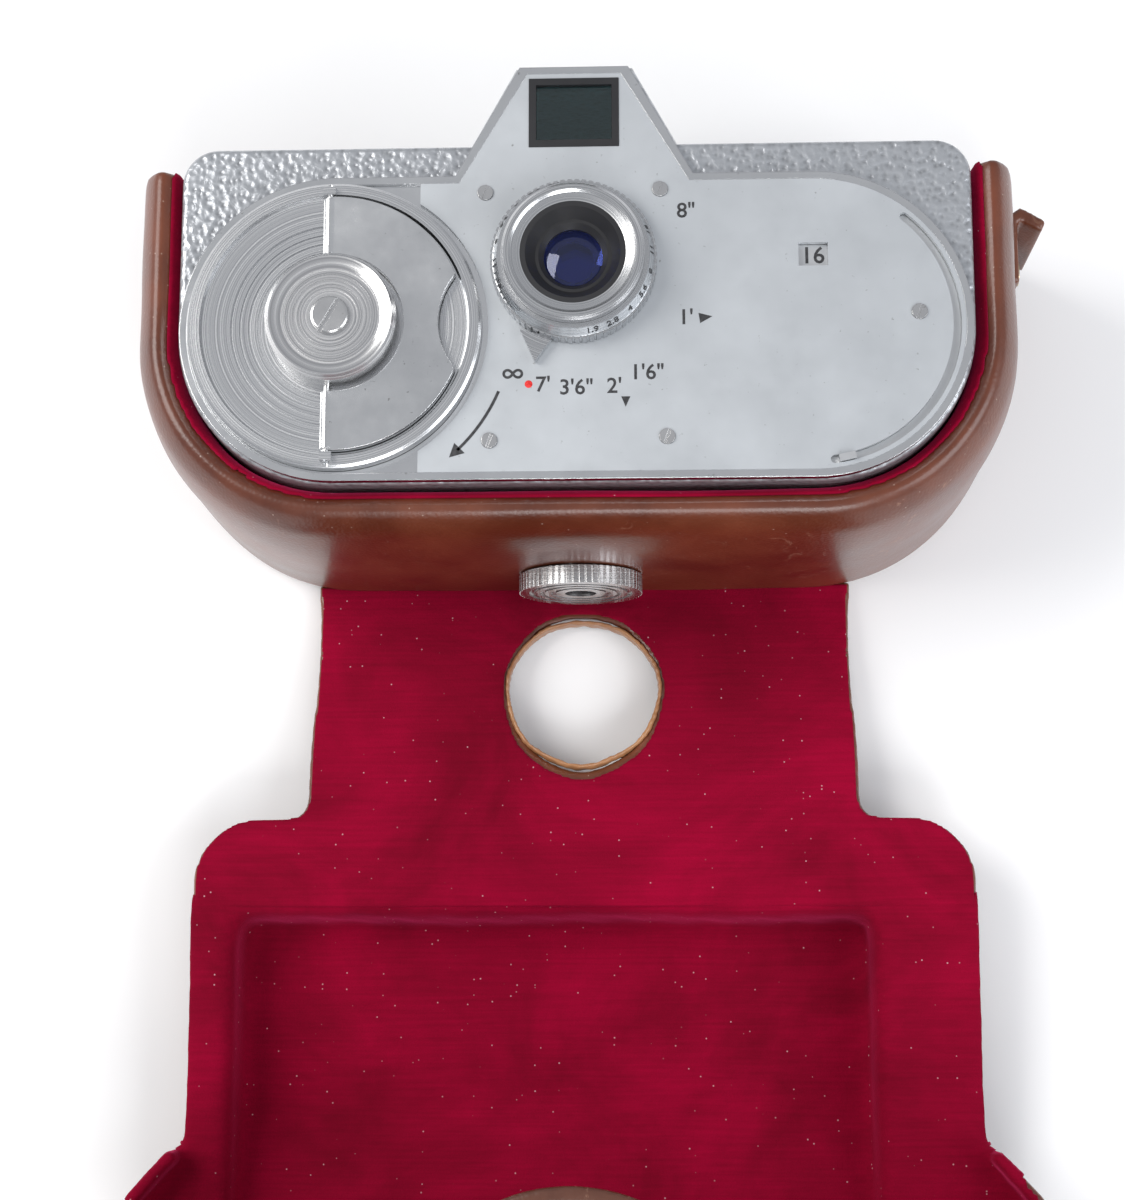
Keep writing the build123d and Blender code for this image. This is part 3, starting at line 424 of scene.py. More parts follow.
def make_grain() -> bpy.types.NodeTree:
    """Build the hide effect: fine pores, creases and scuffs.

    Returns:
        A group with Colour, Roughness and Height outputs.
    """
    tree, entry, out = new_group(
        "hide_grain",
        {"Vector": None, "Base": (0.3, 0.1, 0.05, 1.0), "Dark": (0.1, 0.03, 0.02, 1.0),
         "Scuff": (0.6, 0.4, 0.3, 1.0), "Scuff Amount": 0.5},
        SURFACE_OUTPUTS,
    )
    place = entry.outputs["Vector"]
    pores = texture(tree, place, "Voronoi", Scale=1500.0).outputs["Distance"]
    cloud = texture(tree, place, Scale=45.0, Detail=6.0, Roughness=0.6).outputs["Fac"]
    wide = texture(tree, place, Scale=14.0, Detail=3.0).outputs["Fac"]
    scratch = texture(tree, place, Scale=160.0, Detail=8.0, Roughness=0.75, Distortion=1.5).outputs["Fac"]
    ground = mixed(tree, ramp(tree, cloud, 0.35, 0.68), entry.outputs["Dark"], entry.outputs["Base"])
    worn = combine(tree, "MULTIPLY", ramp(tree, scratch, 0.60, 0.72), ramp(tree, wide, 0.46, 0.66))
    amount = combine(tree, "MULTIPLY", worn, entry.outputs["Scuff Amount"])
    dull = combine(tree, "MULTIPLY_ADD", amount, 0.25, ramp(tree, cloud, 0.3, 0.7, 0.30, 0.46))
    tree.links.new(mixed(tree, amount, ground, entry.outputs["Scuff"]), out.inputs["Colour"])
    tree.links.new(dull, out.inputs["Roughness"])
    tree.links.new(combine(tree, "MULTIPLY_ADD", cloud, 0.4, pores), out.inputs["Height"])
    return tree


def make_dust() -> bpy.types.NodeTree:
    """Build the dust effect: sparse pale specks.

    Returns:
        A group with a Colour and a Mask output.
    """
    tree, entry, out = new_group(
        "dust",
        {"Vector": None, "Base": (0.5, 0.5, 0.5, 1.0), "Speck": (0.8, 0.75, 0.7, 1.0), "Amount": 0.3},
        {"Colour": "NodeSocketColor", "Mask": "NodeSocketFloat"},
    )
    cells = texture(tree, entry.outputs["Vector"], "Voronoi", Scale=800.0)
    pick = tree.nodes.new("ShaderNodeSeparateColor")
    tree.links.new(cells.outputs["Color"], pick.inputs["Color"])
    dot = ramp(tree, cells.outputs["Distance"], 0.16, 0.08)
    mask = combine(tree, "MULTIPLY", dot, ramp(tree, pick.outputs["Red"], 0.86, 0.9))
    amount = combine(tree, "MULTIPLY", mask, entry.outputs["Amount"])
    speckled = mixed(tree, amount, entry.outputs["Base"], entry.outputs["Speck"])
    tree.links.new(speckled, out.inputs["Colour"])
    tree.links.new(amount, out.inputs["Mask"])
    return tree


def make_turning() -> bpy.types.NodeTree:
    """Build the lathe effect: fine rings round the Z axis, with a varied sheen.

    Returns:
        A group with Colour, Roughness and Height outputs.
    """
    inputs = {"Vector": None, "Base": (0.7, 0.7, 0.7, 1.0), "Rings": 3200.0}
    tree, entry, out = new_group("turning", inputs, SURFACE_OUTPUTS)
    parts = tree.nodes.new("ShaderNodeSeparateXYZ")
    tree.links.new(entry.outputs["Vector"], parts.inputs["Vector"])
    flat = tree.nodes.new("ShaderNodeCombineXYZ")
    for axis in "XY":
        tree.links.new(parts.outputs[axis], flat.inputs[axis])
    length = add_node(tree, "ShaderNodeVectorMath", operation="LENGTH")
    tree.links.new(flat.outputs["Vector"], length.inputs[0])
    fine = add_node(tree, "ShaderNodeTexNoise", Scale=1.0, Detail=5.0, Roughness=0.7)
    fine.noise_dimensions = "1D"
    pitch = combine(tree, "MULTIPLY", length.outputs["Value"], entry.outputs["Rings"])
    tree.links.new(pitch, fine.inputs["W"])
    rings = fine.outputs["Fac"]
    shade = mixed(tree, ramp(tree, rings, 0.35, 0.65), (0.72, 0.72, 0.73), (1.0, 1.0, 1.0))
    tree.links.new(tinted(tree, entry.outputs["Base"], shade), out.inputs["Colour"])
    tree.links.new(ramp(tree, rings, 0.3, 0.7, 0.16, 0.34), out.inputs["Roughness"])
    tree.links.new(rings, out.inputs["Height"])
    return tree


def make_wear() -> bpy.types.NodeTree:
    """Build the metal handling effect: faint smears, pits and rubbed patches.

    Returns:
        A group with Colour, Roughness and Height outputs.
    """
    inputs = {"Vector": None, "Base": (0.6, 0.6, 0.6, 1.0), "Low": 0.3, "High": 0.5}
    tree, entry, out = new_group("metal_wear", inputs, SURFACE_OUTPUTS)
    place = entry.outputs["Vector"]
    blot = texture(tree, place, Scale=70.0, Detail=7.0, Roughness=0.65).outputs["Fac"]
    pit = texture(tree, place, Scale=900.0, Detail=4.0, Roughness=0.6).outputs["Fac"]
    tint = mixed(tree, ramp(tree, blot, 0.3, 0.7), (0.93, 0.93, 0.93), (1.0, 1.0, 1.0))
    speck = mixed(tree, ramp(tree, pit, 0.68, 0.76), (1.0, 1.0, 1.0), (0.55, 0.54, 0.52))
    shade = tinted(tree, tinted(tree, entry.outputs["Base"], tint), speck)
    rough = add_node(tree, "ShaderNodeMapRange", From_Min=0.3, From_Max=0.7)
    tree.links.new(blot, rough.inputs["Value"])
    tree.links.new(entry.outputs["Low"], rough.inputs["To Min"])
    tree.links.new(entry.outputs["High"], rough.inputs["To Max"])
    tree.links.new(shade, out.inputs["Colour"])
    tree.links.new(rough.outputs["Result"], out.inputs["Roughness"])
    tree.links.new(pit, out.inputs["Height"])
    return tree


GRAIN = make_grain()
DUST = make_dust()
TURNING = make_turning()
WEAR = make_wear()


# ------------------------------------------------------------------ finishes
@dataclass(frozen=True)
class Leather:
    """Smooth moulded hide with pores, darker patches and scuffs."""

    name: str
    base: Colour = (0.150, 0.036, 0.013)
    dark: Colour = (0.080, 0.017, 0.006)
    scuff: Colour = (0.52, 0.30, 0.20)
    scuff_amount: float = 0.75

    def make(self) -> bpy.types.Material:
        """Build the material.

        Returns:
            The leather material.
        """
        shader = Shader(self.name)
        hide = shader.effect(GRAIN, Base=(*self.base, 1), Dark=(*self.dark, 1), Scuff=(*self.scuff, 1),
                             Scuff_Amount=self.scuff_amount)
        shader.link(shader.place(), hide.inputs["Vector"])
        speckled = shader.effect(DUST, Speck=(0.6, 0.48, 0.4, 1.0), Amount=0.35)
        shader.link(shader.place(), speckled.inputs["Vector"])
        shader.link(hide.outputs["Colour"], speckled.inputs["Base"])
        shader.feed(Base_Color=speckled.outputs["Colour"], Roughness=hide.outputs["Roughness"],
                    Normal=shader.bump(hide.outputs["Height"], 0.35, 0.12))
        shader.set(Coat_Weight=0.4, Coat_Roughness=0.2, Specular_IOR_Level=0.45)
        return shader.material


@dataclass(frozen=True)
class Velvet:
    """Short-pile crimson velvet: streaky nap, sheen, lint specks."""

    name: str = "crimson_velvet"
    base: Colour = (0.310, 0.0003, 0.026)
    deep: Colour = (0.170, 0.0002, 0.013)

    def make(self) -> bpy.types.Material:
        """Build the material.

        Returns:
            The velvet material.
        """
        shader = Shader(self.name)
        tree, place = shader.tree, shader.place()
        nap = texture(tree, place, Scale=26.0, Detail=5.0, Roughness=0.6, Distortion=0.6)
        pile = texture(tree, place, Scale=1400.0, Detail=3.0, Roughness=0.7)
        stretch = shader.node("ShaderNodeMapping")
        stretch.inputs["Scale"].default_value = (60.0, 1500.0, 900.0)
        shader.link(shader.coordinates.outputs["Object"], stretch.inputs["Vector"])
        rows = texture(tree, stretch.outputs["Vector"], Scale=1.0, Detail=3.0, Roughness=0.6)
        tone = mixed(tree, ramp(tree, nap.outputs["Fac"], 0.34, 0.66), self.deep, self.base)
        streak = mixed(tree, ramp(tree, rows.outputs["Fac"], 0.3, 0.7), (0.82, 0.78, 0.8), (1.0, 1.0, 1.0))
        lint = shader.effect(DUST, Speck=(0.75, 0.45, 0.5, 1.0), Amount=0.55)
        shader.link(place, lint.inputs["Vector"])
        shader.link(tinted(tree, tone, streak), lint.inputs["Base"])
        shader.feed(Base_Color=lint.outputs["Colour"], Normal=shader.bump(pile.outputs["Fac"], 0.6, 0.2))
        shader.set(Roughness=0.95, Specular_IOR_Level=0.1, Sheen_Weight=0.45, Sheen_Roughness=0.4,
                   Sheen_Tint=(1.0, 0.06, 0.24, 1.0))
        return shader.material


@dataclass(frozen=True)
class Metal:
    """Machined or plated metal with handling marks."""

    name: str
    base: Colour = (0.66, 0.67, 0.68)
    low: float = 0.25
    high: float = 0.42
    metallic: float = 1.0
    bump: float = 0.08
    edge: float = 0.0

    def make(self) -> bpy.types.Material:
        """Build the material.

        Returns:
            The metal material.
        """
        shader = Shader(self.name)
        wear = shader.effect(WEAR, Base=(*self.base, 1), Low=self.low, High=self.high)
        shader.link(shader.place(), wear.inputs["Vector"])
        bump = shader.node("ShaderNodeBump", Strength=self.bump, Distance=0.00005)
        shader.link(wear.outputs["Height"], bump.inputs["Height"])
        if self.edge > 0:
            soft = shader.node("ShaderNodeBevel", samples=4, Radius=self.edge * MM)
            shader.link(soft.outputs["Normal"], bump.inputs["Normal"])
        shader.feed(Base_Color=wear.outputs["Colour"], Roughness=wear.outputs["Roughness"],
                    Normal=bump.outputs["Normal"])
        shader.set(Metallic=self.metallic)
        return shader.material


@dataclass(frozen=True)
class Turned:
    """Lathe-turned aluminium with rings round a centre."""

    name: str
    centre: Vector
    base: Colour = (0.76, 0.77, 0.78)
    rings: float = 3200.0

    def make(self) -> bpy.types.Material:
        """Build the material.

        Returns:
            The turned material.
        """
        shader = Shader(self.name)
        rings = shader.effect(TURNING, Base=(*self.base, 1), Rings=self.rings)
        shader.link(shader.place(self.centre), rings.inputs["Vector"])
        shader.feed(Base_Color=rings.outputs["Colour"], Roughness=rings.outputs["Roughness"],
                    Normal=shader.bump(rings.outputs["Height"], 0.22, 0.04))
        shader.set(Metallic=1.0)
        return shader.material


@dataclass(frozen=True)
class Hammertone:
    """Silver hammered enamel: shallow rounded dimples under a gloss coat."""

    name: str = "hammertone_enamel"
    base: Colour = (0.25, 0.26, 0.275)

    def make(self) -> bpy.types.Material:
        """Build the material.

        Returns:
            The enamel material.
        """
        shader = Shader(self.name)
        tree, place = shader.tree, shader.place()
        dimples = texture(tree, place, "Voronoi", Scale=760.0)
        dimples.feature = "SMOOTH_F1"
        dimples.inputs["Smoothness"].default_value = 0.6
        ripples = texture(tree, place, Scale=420.0, Detail=3.0, Distortion=0.8)
        height = combine(tree, "MULTIPLY_ADD", ripples.outputs["Fac"], 0.8, dimples.outputs["Distance"])
        light = tuple(value * 1.75 for value in self.base)
        tone = mixed(tree, ramp(tree, height, 0.3, 0.9), self.base, light)
        shader.feed(Base_Color=tone, Normal=shader.bump(height, 0.75, 0.4))
        shader.set(Metallic=0.65, Roughness=0.36, Coat_Weight=0.5, Coat_Roughness=0.12)
        return shader.material


@dataclass(frozen=True)
class Ink:
    """Filled engraving: flat enamel with a little unevenness."""

    name: str = "black_ink"
    base: Colour = (0.02, 0.02, 0.022)

    def make(self) -> bpy.types.Material:
        """Build the material.

        Returns:
            The ink material.
        """
        shader = Shader(self.name)
        spot = texture(shader.tree, shader.place(), Scale=1800.0, Detail=4.0)
        tone = mixed(shader.tree, ramp(shader.tree, spot.outputs["Fac"], 0.35, 0.65), self.base,
                     tuple(value * 1.8 + 0.01 for value in self.base))
        shader.feed(Base_Color=tone, Roughness=ramp(shader.tree, spot.outputs["Fac"], 0.3, 0.7, 0.4, 0.6))
        return shader.material


@dataclass(frozen=True)
class CoatedGlass:
    """Optical glass with a faint coloured coating and a few dust specks."""

    name: str
    tint: Colour = (0.80, 0.86, 1.0)
    coating: Colour = (0.25, 0.35, 0.9)

    def make(self) -> bpy.types.Material:
        """Build the material.

        Returns:
            The glass material.
        """
        shader = Shader(self.name)
        specks = shader.effect(DUST, Base=(*self.tint, 1), Speck=(0.9, 0.9, 0.9, 1.0), Amount=0.2)
        shader.link(shader.place(), specks.inputs["Vector"])
        shader.feed(Base_Color=specks.outputs["Colour"])
        shader.set(Roughness=0.02, Transmission_Weight=1.0, IOR=1.55, Coat_Weight=0.6, Coat_Roughness=0.03,
                   Coat_Tint=(*self.coating, 1))
        return shader.material


# ------------------------------------------------------------------ shared sizes, mm
class Part(Enum):
    """Bodies that the new pieces ride on."""

    CAMERA = "camera"
    APERTURE = "aperture"
    SPEED = "speed"
    STRIP = "strip"
    COVER = "cover"
    TAB = "tab"


DISC = Vector((-45.5, -12.0, 61.3)) * MM
SPEED_CENTRE = Vector((45.5, -12.0, 60.4)) * MM
PLATE_Z = 60.4
HINGE = Vector((0.0, -54.4, 1.5)) * MM
FOLD = Vector((0.0, -115.043, 14.4)) * MM
SLOPE = math.radians(12.009)
WINDOW_RADIUS = 13.4 * MM


# ------------------------------------------------------------------ mesh tools
def smooth_step(value: float) -> float:
    """Return an S-shaped 0 to 1 ramp."""
    share = min(1.0, max(0.0, value))
    return share * share * (3 - 2 * share)


def new_piece(name: str, points: list, faces: list) -> bpy.types.Object:
    """Make a mesh object at the origin from points in metres.

    Args:
        name: The object's name.
        points: Corner places.
        faces: Corner numbers of each face.

    Returns:
        The object.
    """
    mesh = bpy.data.meshes.new(name)
    mesh.from_pydata([tuple(point) for point in points], [], faces)
    mesh.update()
    piece = bpy.data.objects.new(name, mesh)
    bpy.context.scene.collection.objects.link(piece)
    return piece


def join(name: str, pieces: list) -> bpy.types.Object:
    """Join pieces into one named object.

    Args:
        name: The object's name.
        pieces: The pieces; the first one stays.

    Returns:
        The joined object.
    """
    activate(pieces[0])
    for piece in pieces[1:]:
        piece.select_set(True)
    if len(pieces) > 1:
        bpy.ops.object.join()
    pieces[0].name = name
    return pieces[0]


def sweep(name: str, path: list, section: list, ups: list, closed: bool = False) -> bpy.types.Object:
    """Sweep a flat section along a path.

    Args:
        name: The object's name.
        path: Points in metres.
        section: Pairs (side, up) in metres, in order round the section.
        ups: The section's up direction at each point.
        closed: True joins the last section to the first.

    Returns:
        A closed tube of the section.
    """
    points, faces = [], []
    count, size = len(path), len(section)
    for index, spot in enumerate(path):
        ahead = path[(index + 1) % count] if closed or index + 1 < count else path[index]
        behind = path[index - 1] if closed or index > 0 else path[index]
        along = (ahead - behind).normalized()
        up = ups[index]
        side = along.cross(up).normalized()
        points += [spot + side * a + up * b for a, b in section]
    rounds = count if closed else count - 1
    for index in range(rounds):
        here, there = index * size, (index + 1) % count * size
        for corner in range(size):
            after = (corner + 1) % size
            faces.append((here + corner, here + after, there + after, there + corner))
    if not closed:
        faces.append(tuple(range(size - 1, -1, -1)))
        faces.append(tuple((count - 1) * size + corner for corner in range(size)))
    piece = new_piece(name, points, faces)
    clean_normals(piece)
    return piece


def revolve(name: str, profile: list, centre: Vector, steps: int = 96) -> bpy.types.Object:
    """Turn a closed profile round a Z axis through a centre.

    Args:
        name: The object's name.
        profile: Pairs (radius, height) in mm, closed round the section.
        centre: The axis place in metres; heights are counted from world zero.
        steps: Sections per turn.

    Returns:
        The ring.
    """
    points, faces = [], []
    size = len(profile)
    for index in range(steps):
        turn = math.tau * index / steps
        for radius, height in profile:
            points.append(Vector((centre.x + radius * MM * math.cos(turn),
                                  centre.y + radius * MM * math.sin(turn), height * MM)))
    for index in range(steps):
        here, there = index * size, (index + 1) % steps * size
        for corner in range(size):
            after = (corner + 1) % size
            faces.append((here + corner, here + after, there + after, there + corner))
    piece = new_piece(name, points, faces)
    clean_normals(piece)
    return piece


def remesh(piece: bpy.types.Object, voxel: float, rounds: int, factor: float = 0.5) -> None:
    """Turn a piece into an even mesh with softened edges.

    Args:
        piece: The mesh object.
        voxel: Cell size in mm.
        rounds: Smoothing rounds.
        factor: Smoothing strength.
    """
    apply_modifier(piece, "REMESH", mode="VOXEL", voxel_size=voxel * MM, use_smooth_shade=True)
    if rounds:
        apply_modifier(piece, "SMOOTH", factor=factor, iterations=rounds)


def ripple(piece: bpy.types.Object, amount: float, scale: float, seed: float = 0.0) -> None:
    """Move corners a little along their normals by smooth noise.

    Args:
        piece: The mesh object.
        amount: Largest move in mm.
        scale: Wave length in mm.
        seed: Shifts the pattern.
    """
    mesh = piece.data
    count = len(mesh.vertices)
    places, normals = np.empty(count * 3), np.empty(count * 3)
    mesh.vertices.foreach_get("co", places)
    mesh.vertex_normals.foreach_get("vector", normals)
    places, normals = places.reshape(-1, 3), normals.reshape(-1, 3)
    wave = places / (scale * MM) * math.tau + seed
    move = (np.sin(wave[:, 0] + 1.7 * np.sin(wave[:, 1] * 0.7)) * np.sin(wave[:, 1] * 1.1 + 0.8)
            + 0.6 * np.sin(wave[:, 2] * 1.3 + wave[:, 0] * 0.6)) / 1.6
    mesh.vertices.foreach_set("co", (places + normals * (move * amount * MM)[:, None]).ravel())
    mesh.update()


def search_tree(node: str) -> BVHTree:
    """Gather a CAD node's faces for rays and nearest points.

    Args:
        node: The CAD node's name.

    Returns:
        The search tree.
    """
    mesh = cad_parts[node].data
    return BVHTree.FromPolygons([vertex.co for vertex in mesh.vertices],
                                [tuple(face.vertices) for face in mesh.polygons])


def skin_from(shell: bpy.types.Object, node: str, name: str, reach: float, behind: float,
              lift: float = 0.1, thick: float = 0.45) -> bpy.types.Object:
    """Cut the faces of a shell that a CAD lining covers into a fabric skin of their own.

    Args:
        shell: The leather piece.
        node: The CAD node of the lining.
        name: The skin's name.
        reach: How near to the lining a face must be, in mm.
        behind: How far the lining may lie behind a face, in mm.
        lift: How far the skin stands off the shell, in mm.
        thick: The skin's thickness, in mm.

    Returns:
        The fabric skin, as a closed piece.
    """
    tree = search_tree(node)
    skin = bpy.data.objects.new(name, shell.data.copy())
    bpy.context.scene.collection.objects.link(skin)
    work = bmesh.new()
    work.from_mesh(skin.data)
    drop = []
    for face in work.faces:
        middle = face.calc_center_median()
        spot, normal, _, distance = tree.find_nearest(middle, reach * MM)
        near = spot is not None and distance <= reach * MM
        ahead = near and (spot - middle).dot(face.normal) > -behind * MM
        if not ahead or not (abs(normal.dot(face.normal)) > 0.25 or face.normal.z > 0.5):
            drop.append(face)
    bmesh.ops.delete(work, geom=drop, context="FACES")
    loose = [vertex for vertex in work.verts if len(vertex.link_faces) < 2]
    bmesh.ops.delete(work, geom=loose, context="VERTS")
    work.to_mesh(skin.data)
    work.free()
    apply_modifier(skin, "SMOOTH", factor=0.5, iterations=2)
    apply_modifier(skin, "DISPLACE", strength=lift * MM, mid_level=0.0)
    apply_modifier(skin, "SOLIDIFY", thickness=thick * MM, offset=1.0, use_rim=True)
    return skin


# ------------------------------------------------------------------ the leather case
@dataclass
class HalfCase:
    """The moulded half that holds the camera, with its velvet lining."""

    voxel: float = 1.0
    rounds: int = 7
    corner_x: float = 46.0
    corner_y: float = -12.0
    core: float = 33.5
    wall: float = 7.0
    draw_from: float = 30.0
    draw_height: float = 27.4
    draw_in: float = 2.6
    rim_drop: float = 2.4
    hide: Leather = Leather("case_leather")

    def build(self, velvet: bpy.types.Material) -> None:
        """Build the shell and the lining.

        Args:
            velvet: The lining's material, shared with the cover.
        """
        hide = self.hide.make()
        shell = node_copy("case_leather", "case_shell")
        remesh(shell, self.voxel, self.rounds)
        self.round_rim(shell)
        ripple(shell, 0.22, 46.0)
        dress(shell, hide)
        skin = skin_from(shell, "case_velvet", "case_lining", 1.6, 0.6)
        dress(skin, velvet)
        finish_piece(skin, Part.CAMERA.value, "velvet", "case_velvet")
        finish_piece(shell, Part.CAMERA.value, "case_leather", "case_leather")

    def round_rim(self, shell: bpy.types.Object) -> None:
        """Draw the outer wall in towards the rim, as wet-moulded hide does.

        Args:
            shell: The case's leather.
        """
        for vertex in shell.data.vertices:
            spot = vertex.co / MM
            core = Vector((max(-self.corner_x, min(self.corner_x, spot.x)), max(self.corner_y, spot.y)))
            out = Vector((spot.x, spot.y)) - core
            depth = (out.length - self.core) / self.wall
            if spot.z > self.draw_from and depth > 0:
                share = ((spot.z - self.draw_from) / self.draw_height) ** 2.4 * min(1.0, depth)
                pull = out.normalized() * self.draw_in * share
                vertex.co -= Vector((pull.x, pull.y, self.rim_drop * share * depth)) * MM
        shell.data.update()


@dataclass
class FoldingStrip:
    """The strip that joins the half case and the cover, with the round hole."""

    narrow: float = 56.0
    wide: float = 79.0
    hole: float = 15.4
    hole_at: float = 21.0
    split: float = 45.2
    length: float = 62.0
    cell: float = 1.0
    ease: float = 4.0
    leather: tuple = (-1.5, 0.85)
    nap: tuple = (0.75, 1.5)
    lap: float = 1.2

    def place(self, along: float, rise: float) -> tuple[float, float]:
        """Return (y, z) in mm of a point of the rest profile.

        Args:
            along: Distance from the first hinge; below 0 lies inside the case and over length in the cover.
            rise: Height over the strip's middle plane.

        Returns:
            The point in the side view.
        """
        y, z, spot = HINGE.y / MM + self.ease, HINGE.z / MM, -self.ease
        if along <= spot:
            return HINGE.y / MM - along, z + rise
        while spot < along - 1e-6:
            stride = min(0.5, along - spot)
            bend = self.bend(spot + stride / 2)
            y -= stride * math.cos(bend)
            z += stride * math.sin(bend)
            spot += stride
        turn = self.bend(along)
        return y + rise * math.sin(turn), z + rise * math.cos(turn)

    def bend(self, along: float) -> float:
        """Return the strip's slope at a distance, in radians."""
        shares = [smooth_step((spot + self.ease) / (2 * self.ease)) for spot in (along, along - self.length)]
        return SLOPE * (shares[0] - shares[1])

    def half_width(self, along: float) -> float:
        """Work out the strip's half width, with its shoulders.

        Args:
            along: Distance from the first hinge, in mm.

        Returns:
            The half width in mm.
        """
        narrow = self.narrow - 0.5 * math.sin(along / 8.0)
        if along < self.split - 2:
            return narrow
        if along < self.split + 3:
            return narrow + 4 * (1 - math.sqrt(max(0.0, 1 - ((along - self.split + 2) / 5) ** 2)))
        share = min(1.0, (along - self.split - 3) / 13)
        return self.wide - 13 * (1 - math.sqrt(1 - (1 - share) ** 2))

    def slab(self, name: str, start: float, end: float, low: float, high: float,
             inset: float) -> bpy.types.Object:
        """Make part of the strip as an even closed slab.

        Args:
            name: The piece's name.
            start: Where it starts along the strip, in mm.
            end: Where it ends.
            low: Lower height over the middle plane.
            high: Upper height.
            inset: How far it stays inside the outline.

        Returns:
            The slab.
        """
        rows = max(2, round((end - start) / (0.4 * self.cell)))
        columns = round(2 * self.wide / self.cell)
        points, faces = [], []
        for row in range(rows + 1):
            along = start + (end - start) * row / rows
            half = self.half_width(along) - inset
            for height in (low, high):
                y, z = self.place(along, height)
                for column in range(columns + 1):
                    points.append(Vector((half * (2 * column / columns - 1), y, z)) * MM)
        wide = columns + 1
        for row in range(rows):
            base = row * 2 * wide
            for column in range(columns):
                low_here, high_here = base + column, base + wide + column
                faces.append((low_here, low_here + 1, low_here + 1 + 2 * wide, low_here + 2 * wide))
                faces.append((high_here, high_here + 2 * wide, high_here + 1 + 2 * wide, high_here + 1))
            for edge in (0, columns):
                corner = base + edge
                faces.append((corner, corner + wide, corner + 3 * wide, corner + 2 * wide))
        for base in (0, rows * 2 * wide):
            for low_here in range(base, base + columns):
                faces.append((low_here, low_here + 1, low_here + wide + 1, low_here + wide))
        piece = new_piece(name, points, faces)
        clean_normals(piece)
        return piece

    def half(self, name: str, start: float, nap_start: float, end: float) -> tuple:
        """Make the leather and the velvet of one half of the strip.

        Args:
            name: The leather piece's name.
            start: Where the leather starts along the strip, in mm.
            nap_start: Where the velvet starts.
            end: Where both end.

        Returns:
            The leather slab and the velvet slab.
        """
        return (self.slab(name, start, end, *self.leather, 0.0),
                self.slab(name + "_nap", nap_start, end, *self.nap, 0.5))

    def cut_hole(self, piece: bpy.types.Object, radius: float) -> None:
        """Cut the round hole with a slightly uneven cylinder.

        Args:
            piece: The slab to cut.
            radius: The hole's radius in mm.
        """
        y, z = self.place(self.hole_at, 0.0)
        bpy.ops.mesh.primitive_cylinder_add(vertices=96, radius=radius * MM, depth=0.03,
                                            location=(0, y * MM, z * MM), rotation=(SLOPE, 0, 0))
        cutter = bpy.context.object
        for vertex in cutter.data.vertices:
            turn = math.atan2(vertex.co.y, vertex.co.x)
            grow = 1 + 0.012 * math.sin(3 * turn + 0.6) + 0.008 * math.sin(7 * turn)
            vertex.co.x *= grow
            vertex.co.y *= grow
        apply_modifier(piece, "BOOLEAN", operation="DIFFERENCE", object=cutter, solver="EXACT")
        bpy.data.objects.remove(cutter)

    def build(self, velvet: bpy.types.Material, hide: bpy.types.Material, raw: bpy.types.Material) -> None:
        """Build both halves of the strip.

        Args:
            velvet: Lining material.
            hide: Leather material.
            raw: Cut flesh edge material.
        """
        root, root_nap = self.half("strip_root", -3.6, -3.0, self.split + self.lap)
        inner = self.split - self.lap
        yoke, yoke_nap = self.half("strip_yoke", inner, inner, self.length + 4.5)
        for piece, radius in ((root, self.hole), (root_nap, self.hole + 1.1)):
            self.cut_hole(piece, radius)
        for piece, material, cell, rounds in ((root, hide, 0.8, 4), (root_nap, velvet, 0.55, 2),
                                              (yoke, hide, 0.8, 4), (yoke_nap, velvet, 0.55, 2)):
            remesh(piece, cell, rounds)
            dress(piece, material)
        for piece, kind, node in ((root, "strap_leather", "strip_leather"),
                                  (root_nap, "velvet", "strip_velvet")):
            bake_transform(piece)
            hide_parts(node)
        for piece, kind, node in ((yoke, "strap_leather", "strip_leather"),
                                  (yoke_nap, "velvet", "strip_velvet")):
            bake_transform(piece)
            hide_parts(node)
        ring = self.raw_edge()
        dress(ring, raw)
        finish_piece(ring, Part.STRIP.value, "strap_leather")

    def raw_edge(self) -> bpy.types.Object:
        """Build the raised cut edge round the hole.

        Returns:
            The ring.
        """
        y, z = self.place(self.hole_at, 0.0)
        path, ups = [], []
        for step in range(120):
            turn = math.tau * step / 120
            grow = 1 + 0.012 * math.sin(3 * turn + 0.6) + 0.008 * math.sin(7 * turn)
            reach = (self.hole + 0.45) * grow
            spot = Vector((reach * math.cos(turn), reach * math.sin(turn), 0.15 * math.sin(9 * turn)))
            spot.rotate(Matrix.Rotation(-SLOPE, 3, "X"))
            path.append(Vector((spot.x, y + spot.y, z + spot.z)) * MM)
            ups.append(Vector((0, math.sin(SLOPE), math.cos(SLOPE))))
        section = []
        for side, up in ((-0.4, -1.3), (0.35, -1.25), (0.5, 0.1), (0.4, 1.3), (-0.4, 1.5), (-0.45, 0.2)):
            section.append((side * MM, up * MM))
        ring = sweep("hole_edge", path, section, ups, closed=True)
        apply_modifier(ring, "SUBSURF", levels=2)
        ripple(ring, 0.14, 3.1)
        smooth(ring, 70)
        return ring


